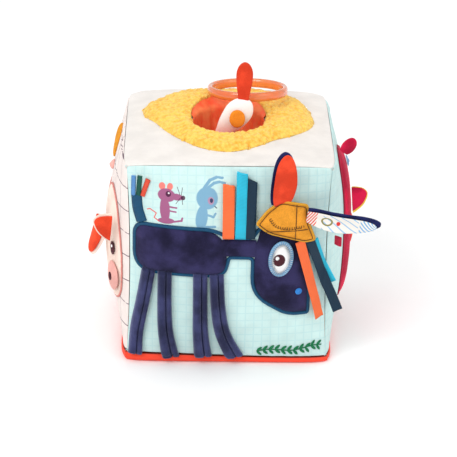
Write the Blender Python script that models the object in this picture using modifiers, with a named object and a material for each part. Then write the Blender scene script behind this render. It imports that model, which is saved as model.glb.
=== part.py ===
"""Soft baby activity cube: six cloth panels over a foam block, a fleece nest with a pocket on top,
a padded donkey with loose legs, ears and ribbons on the front, a pig on the left side, a hen on the
right side, and a ring toy kept in the pocket.

Frame: +Z up, the donkey faces -Y, and the origin is the middle of the flat underside.
"""

import math

import bmesh
import bpy
from mathutils import Matrix, Vector

MM = 0.001

# ---- driving dimensions
HALF = 80 * MM  # half the cube's width and depth, seam to seam
SEAM_LOW = 9 * MM  # height of the lower seams above the ground
SEAM_HIGH = 162 * MM  # height of the upper seams
WALL_BULGE = 12 * MM  # how far the middle of each wall swells past its seams
SIDE_PINCH = 4 * MM  # how far the middle of an upright seam is drawn in
TOP_BULGE = 5 * MM
UNDER_BULGE = 14 * MM  # the belly would swell this far; the ground flattens it
FULLNESS = 2.4  # exponent of the stuffed profile: higher is flatter with a tighter rim
BACK_LIFT = 4.5 * MM  # how much higher the plump back of the top stands than its front
CORNER_LIFT = 0.55  # share of that lift left at the two back corners
LIFT_FROM_Z, LIFT_RUN_Z = 100 * MM, 62 * MM  # heights over which the lift grows to its full size
LIFT_FROM_Y, LIFT_RUN_Y = -45 * MM, 105 * MM  # and the depths

CLOTH = 1.0 * MM  # cloth and backing of a panel
GAP = 0.45 * MM  # air between sewn pieces
WADDING = 1.8 * MM  # air and loose fibre between the cloth and the foam
LEAF_BASE = 0.12  # how far along its oval a leaf-shaped flap is cut off by its seam
SEAM_MARGIN = 0.017  # share of a panel's half width turned into the seam
PANEL_CELLS = 10

PAD_THICK = 5.0 * MM  # quilted velour shapes
PATCH_THICK = 0.8 * MM  # flat embroidered or felt shapes
RIBBON_THICK = 0.7 * MM
FILM = 0.25 * MM
RIBBON_WIDE = 7.4 * MM
LEG_THICK = 6.0 * MM
LEG_WIDE = 12.2 * MM

POCKET_AT = (0.0, -4 * MM)  # middle of the nest's opening
POCKET_RIM = 28.5 * MM
POCKET_FLOOR_R = 22 * MM
POCKET_FLOOR_Z = 84 * MM
LINER_THICK = 0.8 * MM
FLEECE_THICK = 5.5 * MM

RING_AT = Vector((15 * MM, 30.5 * MM, 182.8 * MM))
RING_MAJOR = 29.3 * MM
RING_HALF_WALL = 2.5 * MM
RING_HALF_BAND = 3.6 * MM
RING_LEAN = math.radians(7.8)

RATTLE_AT = Vector((0.0, 54 * MM, 50 * MM))
RATTLE_R = 13 * MM
RATTLE_WALL = 1.2 * MM
RATTLE_BALL_R = 3.5 * MM

MID_Z = (SEAM_LOW + SEAM_HIGH) / 2
HALF_TALL = (SEAM_HIGH - SEAM_LOW) / 2

# colours, roughness
COLOURS = {
    "sky_cloth": ((0.66, 0.86, 0.87), 0.85),
    "cream_cloth": ((0.93, 0.90, 0.87), 0.85),
    "white_cloth": ((0.94, 0.92, 0.89), 0.85),
    "coral_cloth": ((0.90, 0.17, 0.08), 0.85),
    "foam": ((0.92, 0.90, 0.82), 0.95),
    "orange_lining": ((0.93, 0.20, 0.07), 0.60),
    "yellow_fleece": ((0.95, 0.66, 0.13), 0.95),
    "navy_velour": ((0.06, 0.08, 0.20), 0.90),
    "coral_velour": ((0.93, 0.14, 0.07), 0.85),
    "print_cotton": ((0.92, 0.88, 0.84), 0.85),
    "crinkle_film": ((0.90, 0.90, 0.92), 0.30),
    "mustard_felt": ((0.86, 0.48, 0.07), 0.90),
    "teal_cloth": ((0.01, 0.12, 0.23), 0.70),
    "blue_embroidery": ((0.43, 0.63, 0.86), 0.70),
    "maroon_embroidery": ((0.17, 0.02, 0.04), 0.60),
    "orange_ribbon": ((0.97, 0.33, 0.13), 0.45),
    "cyan_ribbon": ((0.02, 0.62, 0.78), 0.45),
    "navy_ribbon": ((0.01, 0.09, 0.17), 0.45),
    "peach_velour": ((0.95, 0.66, 0.56), 0.90),
    "pink_velour": ((0.90, 0.45, 0.42), 0.90),
    "crimson_velour": ((0.72, 0.03, 0.10), 0.90),
    "yellow_cotton": ((0.96, 0.68, 0.15), 0.85),
    "white_velour": ((0.95, 0.90, 0.88), 0.90),
    "orange_felt": ((0.93, 0.42, 0.08), 0.90),
    "orange_plastic": ((0.96, 0.36, 0.08), 0.15),
    "rattle_plastic": ((0.90, 0.90, 0.90), 0.40),
    "rattle_steel": ((0.60, 0.60, 0.62), 0.30),
}


# ---- housekeeping
def clear_scene():
    for obj in list(bpy.data.objects):
        bpy.data.objects.remove(obj, do_unlink=True)


def make_collection(name):
    collection = bpy.data.collections.new(name)
    bpy.context.scene.collection.children.link(collection)
    return collection


def material(name):
    """The Principled material of that name, made once."""
    made = bpy.data.materials.get(name)
    if made:
        return made
    colour, roughness = COLOURS[name]
    made = bpy.data.materials.new(name)
    made.use_nodes = True
    shader = made.node_tree.nodes["Principled BSDF"]
    shader.inputs["Base Color"].default_value = (*colour, 1.0)
    shader.inputs["Roughness"].default_value = roughness
    shader.inputs["Metallic"].default_value = 1.0 if name == "rattle_steel" else 0.0
    return made


def add_object(name, bm, finish, collection):
    """A new mesh object from bm, in that material."""
    mesh = bpy.data.meshes.new(name)
    bm.to_mesh(mesh)
    bm.free()
    obj = bpy.data.objects.new(name, mesh)
    collection.objects.link(obj)
    if finish:
        mesh.materials.append(material(finish))
    return obj


def as_cutter(obj):
    obj.hide_render = True
    obj.display_type = "WIRE"


def boolean(obj, cutter, operation):
    cut = obj.modifiers.new(operation.lower(), "BOOLEAN")
    cut.operation = operation
    cut.object = cutter


def thicken(obj, thickness, outward):
    """Solidify, away from the open surface's normals or along them."""
    shell = obj.modifiers.new("thickness", "SOLIDIFY")
    shell.thickness = thickness
    shell.offset = 1.0 if outward else -1.0
    shell.use_even_offset = False


def pivot_at(obj, point):
    """Puts the object's origin on its joint without moving its shape."""
    obj.data.transform(Matrix.Translation(-Vector(point)))
    obj.location = point


# ---- the stuffed cube's surface
def full(t):
    """How fully the stuffing swells at t, from 1 in the middle to 0 at a seam."""
    return 1 - min(abs(t), 1.0) ** FULLNESS


def wall_depth(across, up):
    """Distance of an upright wall from the cube's axis, at a place across it and a height."""
    v = (up - MID_Z) / HALF_TALL
    drawn = SIDE_PINCH * full(v)
    u = across / (HALF - drawn)
    return HALF - drawn + (WALL_BULGE + SIDE_PINCH) * full(u) * full(v)


def top_height(x, y):
    return SEAM_HIGH + TOP_BULGE * full(x / HALF) * full(y / HALF)


def under_height(x, y):
    return max(0.0, SEAM_LOW - UNDER_BULGE * full(x / HALF) * full(y / HALF))


def eased_step(t):
    """0 below 0, 1 above 1, smooth between."""
    t = min(max(t, 0.0), 1.0)
    return t * t * (3 - 2 * t)


def plump(point):
    """Where a point of the even cube goes in the real one, whose back is stuffed fuller."""
    share = eased_step((point.z - LIFT_FROM_Z) / LIFT_RUN_Z)
    share *= eased_step((point.y - LIFT_FROM_Y) / LIFT_RUN_Y)
    share *= CORNER_LIFT + (1 - CORNER_LIFT) * full(point.x / HALF)
    return point + Vector((0, 0, BACK_LIFT * share))


def on_wall(wall, a, b, out=0.0):
    """The point of a wall at its own coordinates: (x, z) on the front and back, (y, z) on the
    sides, (x, y) on the top and underside; out is how far it stands off."""
    if wall == "front":
        return Vector((a, -wall_depth(a, b) - out, b))
    if wall == "back":
        return plump(Vector((a, wall_depth(a, b) + out, b)))
    if wall == "left":
        return plump(Vector((-wall_depth(a, b) - out, a, b)))
    if wall == "right":
        return plump(Vector((wall_depth(a, b) + out, a, b)))
    if wall == "top":
        return plump(Vector((a, b, top_height(a, b) + out)))
    return Vector((a, b, under_height(a, b) - out))


OUTWARD = {
    "front": Vector((0, -1, 0)),
    "back": Vector((0, 1, 0)),
    "left": Vector((-1, 0, 0)),
    "right": Vector((1, 0, 0)),
    "top": Vector((0, 0, 1)),
    "under": Vector((0, 0, -1)),
}


def eased(t):
    """Moves a grid line at t from -1 to 1 towards its seam, where the stuffing curves most."""
    return math.sin(t * math.pi / 2)


def panel_point(wall, u, v):
    """The point of a panel at u, v from -1 to 1; its upright edges follow the drawn-in seams."""
    if wall in ("top", "under"):
        return on_wall(wall, u * HALF, v * HALF)
    up = MID_Z + v * HALF_TALL
    return on_wall(wall, u * (HALF - SIDE_PINCH * full(v)), up)


def surface_grid(cells_a, cells_b, place, outward):
    """An open grid whose points come from place(u, v), with its normals along outward."""
    bm = bmesh.new()
    bmesh.ops.create_grid(bm, x_segments=cells_a, y_segments=cells_b, size=1.0)
    for vert in bm.verts:
        vert.co = place(vert.co.x, vert.co.y)
    bm.normal_update()
    if sum((face.normal for face in bm.faces), Vector()).dot(outward) < 0:
        bmesh.ops.reverse_faces(bm, faces=bm.faces)
    return bm


def make_panel(wall, finish, collection):
    share = 1 - SEAM_MARGIN

    def place(u, v):
        return panel_point(wall, eased(u) * share, eased(v) * share)

    bm = surface_grid(PANEL_CELLS, PANEL_CELLS, place, OUTWARD[wall])
    obj = add_object(wall.replace("under", "bottom") + "_panel", bm, finish, collection)
    thicken(obj, CLOTH, outward=False)
    return obj


# ---- outlines
def rounded(corners, radius, steps=4):
    """A closed outline through the corners, each turned on an arc of about that radius."""
    points = []
    count = len(corners)
    for i, corner in enumerate(corners):
        here = Vector(corner)
        back = Vector(corners[i - 1]) - here
        ahead = Vector(corners[(i + 1) % count]) - here
        reach = min(radius, back.length * 0.48, ahead.length * 0.48)
        start = here + back.normalized() * reach
        end = here + ahead.normalized() * reach
        for step in range(steps + 1):
            t = step / steps
            points.append(start * (1 - t) ** 2 + here * 2 * t * (1 - t) + end * t**2)
    return points


def ellipse(centre, radius_a, radius_b, turn=0.0, count=20):
    spin = Matrix.Rotation(turn, 2)
    middle = Vector(centre)
    points = []
    for i in range(count):
        angle = 2 * math.pi * i / count
        arm = Vector((radius_a * math.cos(angle), radius_b * math.sin(angle)))
        points.append(middle + spin @ arm)
    return points


def smooth_line(points, per_span=4):
    """A Catmull-Rom line through the points."""
    knots = [Vector(p) for p in points]
    ends = [2 * knots[0] - knots[1], *knots, 2 * knots[-1] - knots[-2]]
    line = []
    for i in range(1, len(ends) - 2):
        a, b, c, d = ends[i - 1 : i + 3]
        for step in range(per_span):
            t = step / per_span
            line.append(
                (2 * b + (c - a) * t + (2 * a - 5 * b + 4 * c - d) * t**2
                 + (3 * b - a - 3 * c + d) * t**3) / 2
            )
    line.append(knots[-1])
    return line


def strip(path, width, round_end=False):
    """The outline of a band of that width along a smooth path, its far end square or round."""
    line = smooth_line(path)
    left, right = [], []
    for i, point in enumerate(line):
        ahead = line[min(i + 1, len(line) - 1)] - line[max(i - 1, 0)]
        side = Vector((-ahead.y, ahead.x)).normalized() * (width / 2)
        left.append(point + side)
        right.append(point - side)
    end = []
    if round_end:
        start_angle = math.atan2(*(left[-1] - line[-1]).yx)
        for step in range(1, 6):
            angle = start_angle - math.pi * step / 6
            arm = Vector((math.cos(angle), math.sin(angle)))
            end.append(line[-1] + arm * (width / 2))
    return left + end + right[::-1]


def blob(centre, radii):
    """A closed smooth outline whose distance from the centre steps through radii evenly."""
    middle = Vector(centre)
    knots = []
    for i, radius in enumerate(radii):
        angle = 2 * math.pi * i / len(radii)
        knots.append(middle + Vector((math.cos(angle), math.sin(angle))) * radius)
    line = smooth_line([knots[-1], *knots, knots[0], knots[1]], per_span=3)
    return line[3 : 3 + 3 * len(radii)]


# ---- pieces cut to an outline and laid on a wall
def outline_prism(name, outline, wall, cutters):
    """A straight prism of the outline through that wall, made from a filled 2D curve."""
    data = bpy.data.curves.new(name, "CURVE")
    data.dimensions = "2D"
    data.fill_mode = "BOTH"
    data.extrude = 0.4 * HALF
    spline = data.splines.new("POLY")
    spline.points.add(len(outline) - 1)
    for point, at in zip(spline.points, outline):
        point.co = (at.x, at.y, 0.0, 1.0)
    spline.use_cyclic_u = True
    curve = bpy.data.objects.new(name, data)
    cutters.objects.link(curve)
    turns = {
        "front": Matrix.Translation((0, -HALF, 0)) @ Matrix.Rotation(math.pi / 2, 4, "X"),
        "back": Matrix.Translation((0, HALF, 0)) @ Matrix.Rotation(math.pi / 2, 4, "X"),
        "top": Matrix.Translation((0, 0, SEAM_HIGH)),
    }
    upright = Matrix.Rotation(math.pi / 2, 4, "Z") @ Matrix.Rotation(math.pi / 2, 4, "X")
    turns["left"] = Matrix.Translation((-HALF, 0, 0)) @ upright
    turns["right"] = Matrix.Translation((HALF, 0, 0)) @ upright
    curve.matrix_world = turns[wall]
    bpy.context.view_layer.update()
    graph = bpy.context.evaluated_depsgraph_get()
    mesh = bpy.data.meshes.new_from_object(curve.evaluated_get(graph))
    bm = bmesh.new()
    bm.from_mesh(mesh)
    bmesh.ops.remove_doubles(bm, verts=bm.verts, dist=0.00001)
    bmesh.ops.recalc_face_normals(bm, faces=bm.faces)
    bm.to_mesh(mesh)
    bm.free()
    prism = bpy.data.objects.new(name + "_cut", mesh)
    cutters.objects.link(prism)
    prism.matrix_world = curve.matrix_world.copy()
    bpy.data.objects.remove(curve)
    as_cutter(prism)
    return prism


def lay_on(name, wall, outline, finish, thickness, groups, level=0.0, cell=9 * MM):
    """A sheet of that thickness that follows the wall, cut to the outline. level is what lies
    between it and the panel."""
    parts, cutters = groups
    margin = 3 * MM
    low_a = min(p.x for p in outline) - margin
    high_a = max(p.x for p in outline) + margin
    low_b = min(p.y for p in outline) - margin
    high_b = max(p.y for p in outline) + margin

    def place(u, v):
        a = low_a + (high_a - low_a) * (u + 1) / 2
        b = low_b + (high_b - low_b) * (v + 1) / 2
        return on_wall(wall, a, b, GAP + level)

    cells_a = max(2, round((high_a - low_a) / cell))
    cells_b = max(2, round((high_b - low_b) / cell))
    bm = surface_grid(cells_a, cells_b, place, OUTWARD[wall])
    obj = add_object(name, bm, finish, parts)
    thicken(obj, thickness, outward=True)
    boolean(obj, outline_prism(name, outline, wall, cutters), "INTERSECT")
    return obj


# ---- loose leaf-shaped flaps
def leaf_half_width(t, width, base_share):
    """Half the width of a leaf at t from 0 at its sewn base to 1 at its tip."""
    stretched = base_share + (0.985 - base_share) * t
    return width * math.sqrt(stretched * (1 - stretched))


def wedge_half_width(t, width):
    """Half the width of a wedge with a wide sewn base and one free corner at its tip."""
    return width / 2 * (1 - 0.72 * t**1.6)


def make_flap(name, base, along, facing, size, finish, parts, layer=(0.0, CLOTH), cup=0.0, share=1.0,
              wedge=False):
    """One sheet of a flap that starts at base and runs along a direction, its face towards facing.
    layer is (distance in front of the hinge line, thickness), cup curls its two edges forward, and
    share is how much of the leaf's length and width the sheet fills. A wedge keeps its upper edge
    straight; the others are leaves."""
    length, width = size
    ahead = Vector(along).normalized()
    front = Vector(facing)
    front = (front - ahead * front.dot(ahead)).normalized()
    side = ahead.cross(front)
    rise = 1.0 if side.z > 0 else -1.0
    start, thickness = layer

    def place(u, v):
        t = share * (u + 1) / 2
        if wedge:
            half = wedge_half_width(t, width)
            across = v * half + rise * (width / 2 - half)
        else:
            across = share * v * leaf_half_width(t, width, LEAF_BASE)
        forward = start + cup * (share * v) ** 2 * math.sin(math.pi * min(t + 0.1, 1.0))
        return Vector(base) + ahead * (length * t) + side * across + front * forward

    bm = surface_grid(6, 4, place, front)
    obj = add_object(name, bm, finish, parts)
    thicken(obj, thickness, outward=True)
    pivot_at(obj, base)
    return obj


def make_ear(name, base, along, facing, size, colours, parts, cup, film=False, wedge=False):
    """A two-layer ear: back cloth, front cloth, and crackling film between them where it has one."""
    back, front = colours
    step = CLOTH + GAP
    leaf = (base, along, facing, size)
    make_flap(name + "_back", *leaf, back, parts, (0.0, CLOTH), cup, wedge=wedge)
    if film:
        step += 0.3 * MM
        make_flap(name + "_film", *leaf, "crinkle_film", parts, (step, FILM), cup, share=0.85)
        step += FILM + GAP + 0.3 * MM
    make_flap(name + "_front", *leaf, front, parts, (step, CLOTH), cup, wedge=wedge)


# ---- the cube itself
def well_cutter(name, radius_top, radius_floor, floor_z, cutters):
    """A round taper from floor_z up through the top."""
    over = SEAM_HIGH + 30 * MM
    reach = (over - floor_z) / (SEAM_HIGH - floor_z)
    radius_over = radius_floor + (radius_top - radius_floor) * reach
    bm = bmesh.new()
    bmesh.ops.create_cone(
        bm, cap_ends=True, segments=24, radius1=radius_floor, radius2=radius_over, depth=over - floor_z
    )
    obj = add_object(name, bm, None, cutters)
    obj.location = (*POCKET_AT, (over + floor_z) / 2)
    as_cutter(obj)
    return obj


def core_point(u, v, w):
    """The foam's surface at a place on a unit cube's skin: inside the panels everywhere."""
    skin = CLOTH + WADDING
    share = 1 - SEAM_MARGIN
    beside = [wall for value, wall in ((-u, "left"), (u, "right"), (-v, "front"), (v, "back"),
                                       (-w, "under"), (w, "top")) if value > 0.999]
    if len(beside) == 1:
        wall = beside[0]
        across = {"left": (v, w), "right": (v, w), "front": (u, w), "back": (u, w)}.get(wall, (u, v))
        return panel_point(wall, across[0] * share, across[1] * share) - OUTWARD[wall] * skin
    reach = HALF - SIDE_PINCH * full(w) - skin
    return plump(Vector((u * reach, v * reach, MID_Z + w * (HALF_TALL - skin))))


def make_foam_core(parts, cutters):
    """The foam block that fills the cloth, with the pocket's well and a bore for the rattle."""
    bm = bmesh.new()
    bmesh.ops.create_cube(bm, size=2.0)
    bmesh.ops.subdivide_edges(bm, edges=bm.edges, cuts=PANEL_CELLS - 1, use_grid_fill=True)
    for vert in bm.verts:
        vert.co = core_point(*(eased(value) for value in vert.co))
    bmesh.ops.recalc_face_normals(bm, faces=bm.faces)
    core = add_object("foam_core", bm, "foam", parts)
    well = well_cutter(
        "core_well", POCKET_RIM + LINER_THICK + GAP, POCKET_FLOOR_R + LINER_THICK + GAP,
        POCKET_FLOOR_Z - LINER_THICK - GAP, cutters,
    )
    boolean(core, well, "DIFFERENCE")
    bore_long = HALF + WALL_BULGE - RATTLE_AT.y + RATTLE_R + 5 * MM
    bm = bmesh.new()
    bmesh.ops.create_cone(
        bm, cap_ends=True, segments=16, radius1=RATTLE_R + 1 * MM, radius2=RATTLE_R + 1 * MM, depth=bore_long
    )
    bore = add_object("rattle_bore", bm, None, cutters)
    bore.rotation_euler = (math.pi / 2, 0, 0)
    bore.location = RATTLE_AT + Vector((0, bore_long / 2 - RATTLE_R - 1 * MM, 0))
    as_cutter(bore)
    boolean(core, bore, "DIFFERENCE")
    return core


def turned(name, profile, finish, parts, steps=24):
    """A profile of (radius, height) turned about Z with a Screw modifier."""
    bm = bmesh.new()
    verts = [bm.verts.new((r, 0, z)) for r, z in profile]
    for a, b in zip(verts, verts[1:]):
        bm.edges.new((a, b))
    obj = add_object(name, bm, finish, parts)
    screw = obj.modifiers.new("turn", "SCREW")
    screw.steps = steps
    screw.render_steps = steps
    screw.use_merge_vertices = True
    screw.merge_threshold = 0.00001
    return obj


def make_pocket_liner(parts):
    """A tapered cup of lining cloth: up the inner side, over the rim and down the outer side."""
    rim_z = SEAM_HIGH + 4.2 * MM
    slope = (POCKET_RIM - POCKET_FLOOR_R) / (SEAM_HIGH - POCKET_FLOOR_Z)

    def radius(z):
        return POCKET_FLOOR_R + slope * (z - POCKET_FLOOR_Z)

    heights = [rim_z, (rim_z + POCKET_FLOOR_Z) / 2, POCKET_FLOOR_Z]
    inner = [(radius(z), z) for z in reversed(heights)]
    outer = [(radius(z) + LINER_THICK, z) for z in heights[:-1]]
    outer.append((POCKET_FLOOR_R + LINER_THICK, POCKET_FLOOR_Z - LINER_THICK))
    profile = [(0.0, POCKET_FLOOR_Z), *inner, *outer, (0.0, POCKET_FLOOR_Z - LINER_THICK)]
    liner = turned("pocket_liner", profile, "orange_lining", parts)
    liner.location = (*POCKET_AT, 0)
    return liner


def make_nest(groups):
    """The fleece shape round the opening: wide to both sides and a little pointed."""
    parts, cutters = groups
    reach = [65, 69, 74, 71, 67, 72, 72, 72, 56, 50.5, 50, 54, 56, 51, 48, 55]
    outline = blob((0, -3 * MM), [r * MM for r in reach])
    fleece = lay_on("fleece_nest", "top", outline, "yellow_fleece", FLEECE_THICK, groups, cell=13 * MM)
    hole = well_cutter("nest_hole", POCKET_RIM - 1.5 * MM, POCKET_FLOOR_R, POCKET_FLOOR_Z, cutters)
    boolean(fleece, hole, "DIFFERENCE")
    return fleece


def make_rattle(parts):
    """Two half shells and a loose ball, in the foam's bore."""
    inner = RATTLE_R - RATTLE_WALL
    split = 0.15 * MM
    for name, side in (("rattle_shell_upper", 1), ("rattle_shell_lower", -1)):
        arc = [math.pi / 2 * (1 - i / 6) for i in range(7)]
        outer = [(RATTLE_R * math.cos(a), RATTLE_R * math.sin(a)) for a in arc]
        hollow = [(inner * math.cos(a), inner * math.sin(a)) for a in reversed(arc)]
        outer[0] = (0.0, RATTLE_R)
        hollow[-1] = (0.0, inner)
        dome = [*outer, *hollow]
        profile = [(r, side * (z + split)) for r, z in (dome if side > 0 else reversed(dome))]
        half = turned(name, profile, "rattle_plastic", parts, steps=16)
        half.location = RATTLE_AT
    bm = bmesh.new()
    bmesh.ops.create_uvsphere(bm, u_segments=10, v_segments=6, radius=RATTLE_BALL_R)
    ball = add_object("rattle_ball", bm, "rattle_steel", parts)
    ball.location = RATTLE_AT - Vector((0, 0, inner - RATTLE_BALL_R - 0.6 * MM))


def make_cube(groups):
    parts, cutters = groups
    make_panel("front", "sky_cloth", parts)
    make_panel("back", "sky_cloth", parts)
    make_panel("left", "cream_cloth", parts)
    make_panel("right", "sky_cloth", parts)
    make_panel("under", "coral_cloth", parts)
    top = make_panel("top", "white_cloth", parts)
    hole = well_cutter(
        "top_hole", POCKET_RIM + LINER_THICK + GAP, POCKET_FLOOR_R + LINER_THICK + GAP,
        POCKET_FLOOR_Z, cutters,
    )
    boolean(top, hole, "DIFFERENCE")
    make_foam_core(parts, cutters)
    make_pocket_liner(parts)
    make_nest(groups)
    make_rattle(parts)


# ---- the donkey on the front
BODY_LEFT, BODY_RIGHT = -73 * MM, 0 * MM
BODY_LOW, BODY_HIGH = 78.5 * MM, 116 * MM
NECK_LOW, NECK_HIGH = 93 * MM, 109 * MM
HEAD_LEFT = 18 * MM
LEG_TOP = BODY_LOW - 2.2 * MM
LEGS = {  # name: centre line from the belly down, as (x, z)
    "hind_leg_outer": [(-61, 76.3), (-66, 50), (-71, 28), (-72, 12.5)],
    "hind_leg_inner": [(-48.5, 76.3), (-48.2, 50), (-46.5, 30), (-42.5, 12)],
    "fore_leg_inner": [(-22, 76.3), (-21, 50), (-20, 30), (-18, 12)],
    "fore_leg_outer": [(-8, 76.3), (-6.5, 50), (-3, 31), (6, 12.5)],
}
MANE = {"orange": -0.3, "cyan": 8.3, "navy": 16.4}  # middle of each ribbon's root, x in mm
MANE_TIPS = {"orange": (-0.6, 147), "cyan": (9.2, 156), "navy": (17.4, 150)}
MANE_LEVEL = 1.5 * MM
FORELOCKS = {  # name: (root, middle, tip) as (x, z), and how many layers lie under it
    "orange": ([(52.5, 103.5), (60, 76), (69.5, 42)], 1.0),
    "navy": ([(61.5, 101), (71, 74), (80.5, 45)], 1.0),
    "cyan": ([(63.5, 100), (72, 78), (80, 61)], 0.0),
}


def make_donkey_pads(groups):
    head = rounded(
        [(mm[0] * MM, mm[1] * MM) for mm in
         [(24, 117), (47, 117), (58, 100), (63, 74), (62, 46), (38, 46), (19, 66), (16, 96)]],
        16 * MM,
    )
    body = rounded(
        [(BODY_LEFT, BODY_LOW), (BODY_RIGHT, BODY_LOW), (BODY_RIGHT, BODY_HIGH - 3 * MM),
         (BODY_LEFT, BODY_HIGH)],
        15 * MM,
    )
    lay_on("donkey_body_pad", "front", body, "navy_velour", PAD_THICK, groups)
    neck_left, neck_right = BODY_RIGHT + 0.4 * MM, HEAD_LEFT - 2.2 * MM
    neck = [
        Vector((neck_left, NECK_LOW)),
        Vector((neck_right, NECK_LOW - 1 * MM)),
        Vector((neck_right, NECK_HIGH - 1 * MM)),
        Vector((neck_left, NECK_HIGH - 1 * MM)),
    ]
    lay_on("donkey_neck_pad", "front", neck, "navy_velour", PAD_THICK * 0.8, groups)
    lay_on("donkey_head_pad", "front", head, "navy_velour", PAD_THICK, groups)
    over = PAD_THICK + GAP
    eye = ellipse((39.2 * MM, 93.5 * MM), 9 * MM, 14 * MM, -0.08)
    lay_on("donkey_eye_patch", "front", eye, "blue_embroidery", PATCH_THICK, groups, over)
    pupil = ellipse((37.8 * MM, 92.7 * MM), 5 * MM, 5 * MM, count=14)
    lay_on("donkey_pupil_patch", "front", pupil, "maroon_embroidery", PATCH_THICK, groups,
           over + PATCH_THICK + GAP)
    nostril = ellipse((53.5 * MM, 65.3 * MM), 2.8 * MM, 2.8 * MM, count=12)
    lay_on("donkey_nostril_patch", "front", nostril, "blue_embroidery", PATCH_THICK, groups, over)


def make_tail(groups):
    """A flat tail that stands up from the rump, with three felt tips."""
    tail = strip([(-64.5 * MM, 117 * MM), (-67.5 * MM, 127 * MM), (-68.7 * MM, 137.5 * MM)], 9.5 * MM)
    lay_on("tail_patch", "front", tail, "teal_cloth", PATCH_THICK, groups)
    tips = {
        "tail_tip_blue": ("blue_embroidery", [(-71.9, 139), (-71.6, 151)]),
        "tail_tip_green": ("teal_cloth", [(-67.2, 139), (-66.2, 151)]),
        "tail_tip_coral": ("coral_velour", [(-62.9, 139), (-59.5, 149)]),
    }
    for name, (finish, ends) in tips.items():
        path = [(a * MM, b * MM) for a, b in ends]
        lay_on(name, "front", strip(path, 3.8 * MM, round_end=True), finish, PATCH_THICK, groups)


def make_legs(groups):
    """Loose stuffed legs, hinged under the belly."""
    for name, path in LEGS.items():
        outline = strip([(x * MM, z * MM) for x, z in path], LEG_WIDE, round_end=True)
        leg = lay_on(name, "front", outline, "navy_velour", LEG_THICK, groups, cell=11 * MM)
        root_x = path[0][0] * MM
        pivot_at(leg, on_wall("front", root_x, LEG_TOP, GAP + LEG_THICK))


def make_ribbons(groups):
    for colour, root_x in MANE.items():
        tip = MANE_TIPS[colour]
        root = (root_x * MM, NECK_HIGH + 1 * MM)
        path = [root, (tip[0] * MM, tip[1] * MM)]
        ribbon = lay_on(
            "mane_ribbon_" + colour, "front", strip(path, RIBBON_WIDE), colour + "_ribbon",
            RIBBON_THICK, groups, MANE_LEVEL, cell=13 * MM,
        )
        pivot_at(ribbon, on_wall("front", *root, GAP + MANE_LEVEL + RIBBON_THICK / 2))
    head_top = PAD_THICK + GAP
    for colour, (path, layer) in FORELOCKS.items():
        points = [(x * MM, z * MM) for x, z in path]
        level = head_top + layer * (RIBBON_THICK + GAP) + 1.2 * MM
        ribbon = lay_on(
            "forelock_ribbon_" + colour, "front", strip(points, RIBBON_WIDE), colour + "_ribbon",
            RIBBON_THICK, groups, level, cell=13 * MM,
        )
        hinge = FORELOCKS["navy" if colour == "cyan" else colour]  # cyan and navy share one seam
        root = [value * MM for value in hinge[0][0]]
        pivot_at(ribbon, on_wall("front", *root, head_top + hinge[1] * (RIBBON_THICK + GAP) + 1.2 * MM))


def make_bridle(groups):
    """The stitched felt shape between the ears, over their sewn ends."""
    corners = [(20.5, 122), (27.5, 131), (38, 137.5), (58, 133.5)]
    corners += [(59, 121), (65.5, 105), (46, 110), (30, 115)]
    outline = rounded([(x * MM, z * MM) for x, z in corners], 2 * MM, steps=2)
    lay_on("bridle_patch", "front", outline, "mustard_felt", 1.6 * MM, groups, PAD_THICK + 4.6 * MM)


UPRIGHT_EAR_AT = Vector((36.9, -89.3, 138)) * MM
SIDE_EAR_AT = Vector((61.4, -91, 129.5)) * MM


def make_donkey_ears(parts):
    make_ear(
        "upright_ear", UPRIGHT_EAR_AT, (0.09, -0.14, 1), (0.35, -1, 0), (41 * MM, 20 * MM),
        ("navy_velour", "coral_velour"), parts, cup=3 * MM, film=True,
    )
    make_ear(
        "side_ear", SIDE_EAR_AT, (1, -0.12, -0.17), (0, -1, -0.45), (52 * MM, 19 * MM),
        ("navy_velour", "print_cotton"), parts, cup=3.5 * MM, film=True,
    )


# ---- the pig on the left
PIG_NEAR_EAR_AT = Vector((-88.5, -63, 104)) * MM
PIG_FAR_EAR_AT = Vector((-96.5, -31, 100)) * MM
PIG_PAD = 3.5 * MM


def make_pig(groups):
    """A pig seen from its side, its snout towards the front seam."""
    parts = groups[0]
    head = [(-66, 46), (-38, 40), (-12, 56), (-8, 106), (-28, 130), (-56, 126), (-67, 86)]
    body = [(-4, 46), (24, 36), (54, 42), (64, 80), (44, 112), (4, 108)]
    for name, corners in (("pig_head_pad", head), ("pig_body_pad", body)):
        outline = rounded([(y * MM, z * MM) for y, z in corners], 18 * MM)
        lay_on(name, "left", outline, "peach_velour", PIG_PAD, groups, cell=12 * MM)
    over = PIG_PAD + GAP
    snout = ellipse((-57 * MM, 62 * MM), 9.5 * MM, 11.5 * MM)
    lay_on("pig_snout_pad", "left", snout, "pink_velour", 3 * MM, groups, over)
    nostril = ellipse((-59 * MM, 62 * MM), 2.2 * MM, 3.4 * MM, count=12)
    lay_on("pig_nostril_patch", "left", nostril, "maroon_embroidery", PATCH_THICK, groups,
           over + 3 * MM + GAP)
    eye = ellipse((-56.5 * MM, 84.5 * MM), 3.4 * MM, 5.4 * MM, count=14)
    lay_on("pig_eye_patch", "left", eye, "maroon_embroidery", PATCH_THICK, groups, over)
    make_ear(
        "pig_near_ear", PIG_NEAR_EAR_AT, (-1, -0.12, 0.1), (0.1, -1, 0), (14 * MM, 22 * MM),
        ("pink_velour", "coral_velour"), parts, cup=-1.5 * MM, wedge=True,
    )
    make_ear(
        "pig_far_ear", PIG_FAR_EAR_AT, (-0.26, -0.1, -1), (-1, -0.5, 0), (31 * MM, 18 * MM),
        ("pink_velour", "coral_velour"), parts, cup=-2 * MM,
    )


# ---- the hen on the right
HEN_COMB_AT = Vector((87.5, -30, 154.5)) * MM
HEN_CHEEK_AT = Vector((95.4, -31, 117)) * MM
SEAM_TAG_AT = Vector((79.5, -79.5, 103)) * MM


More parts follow.
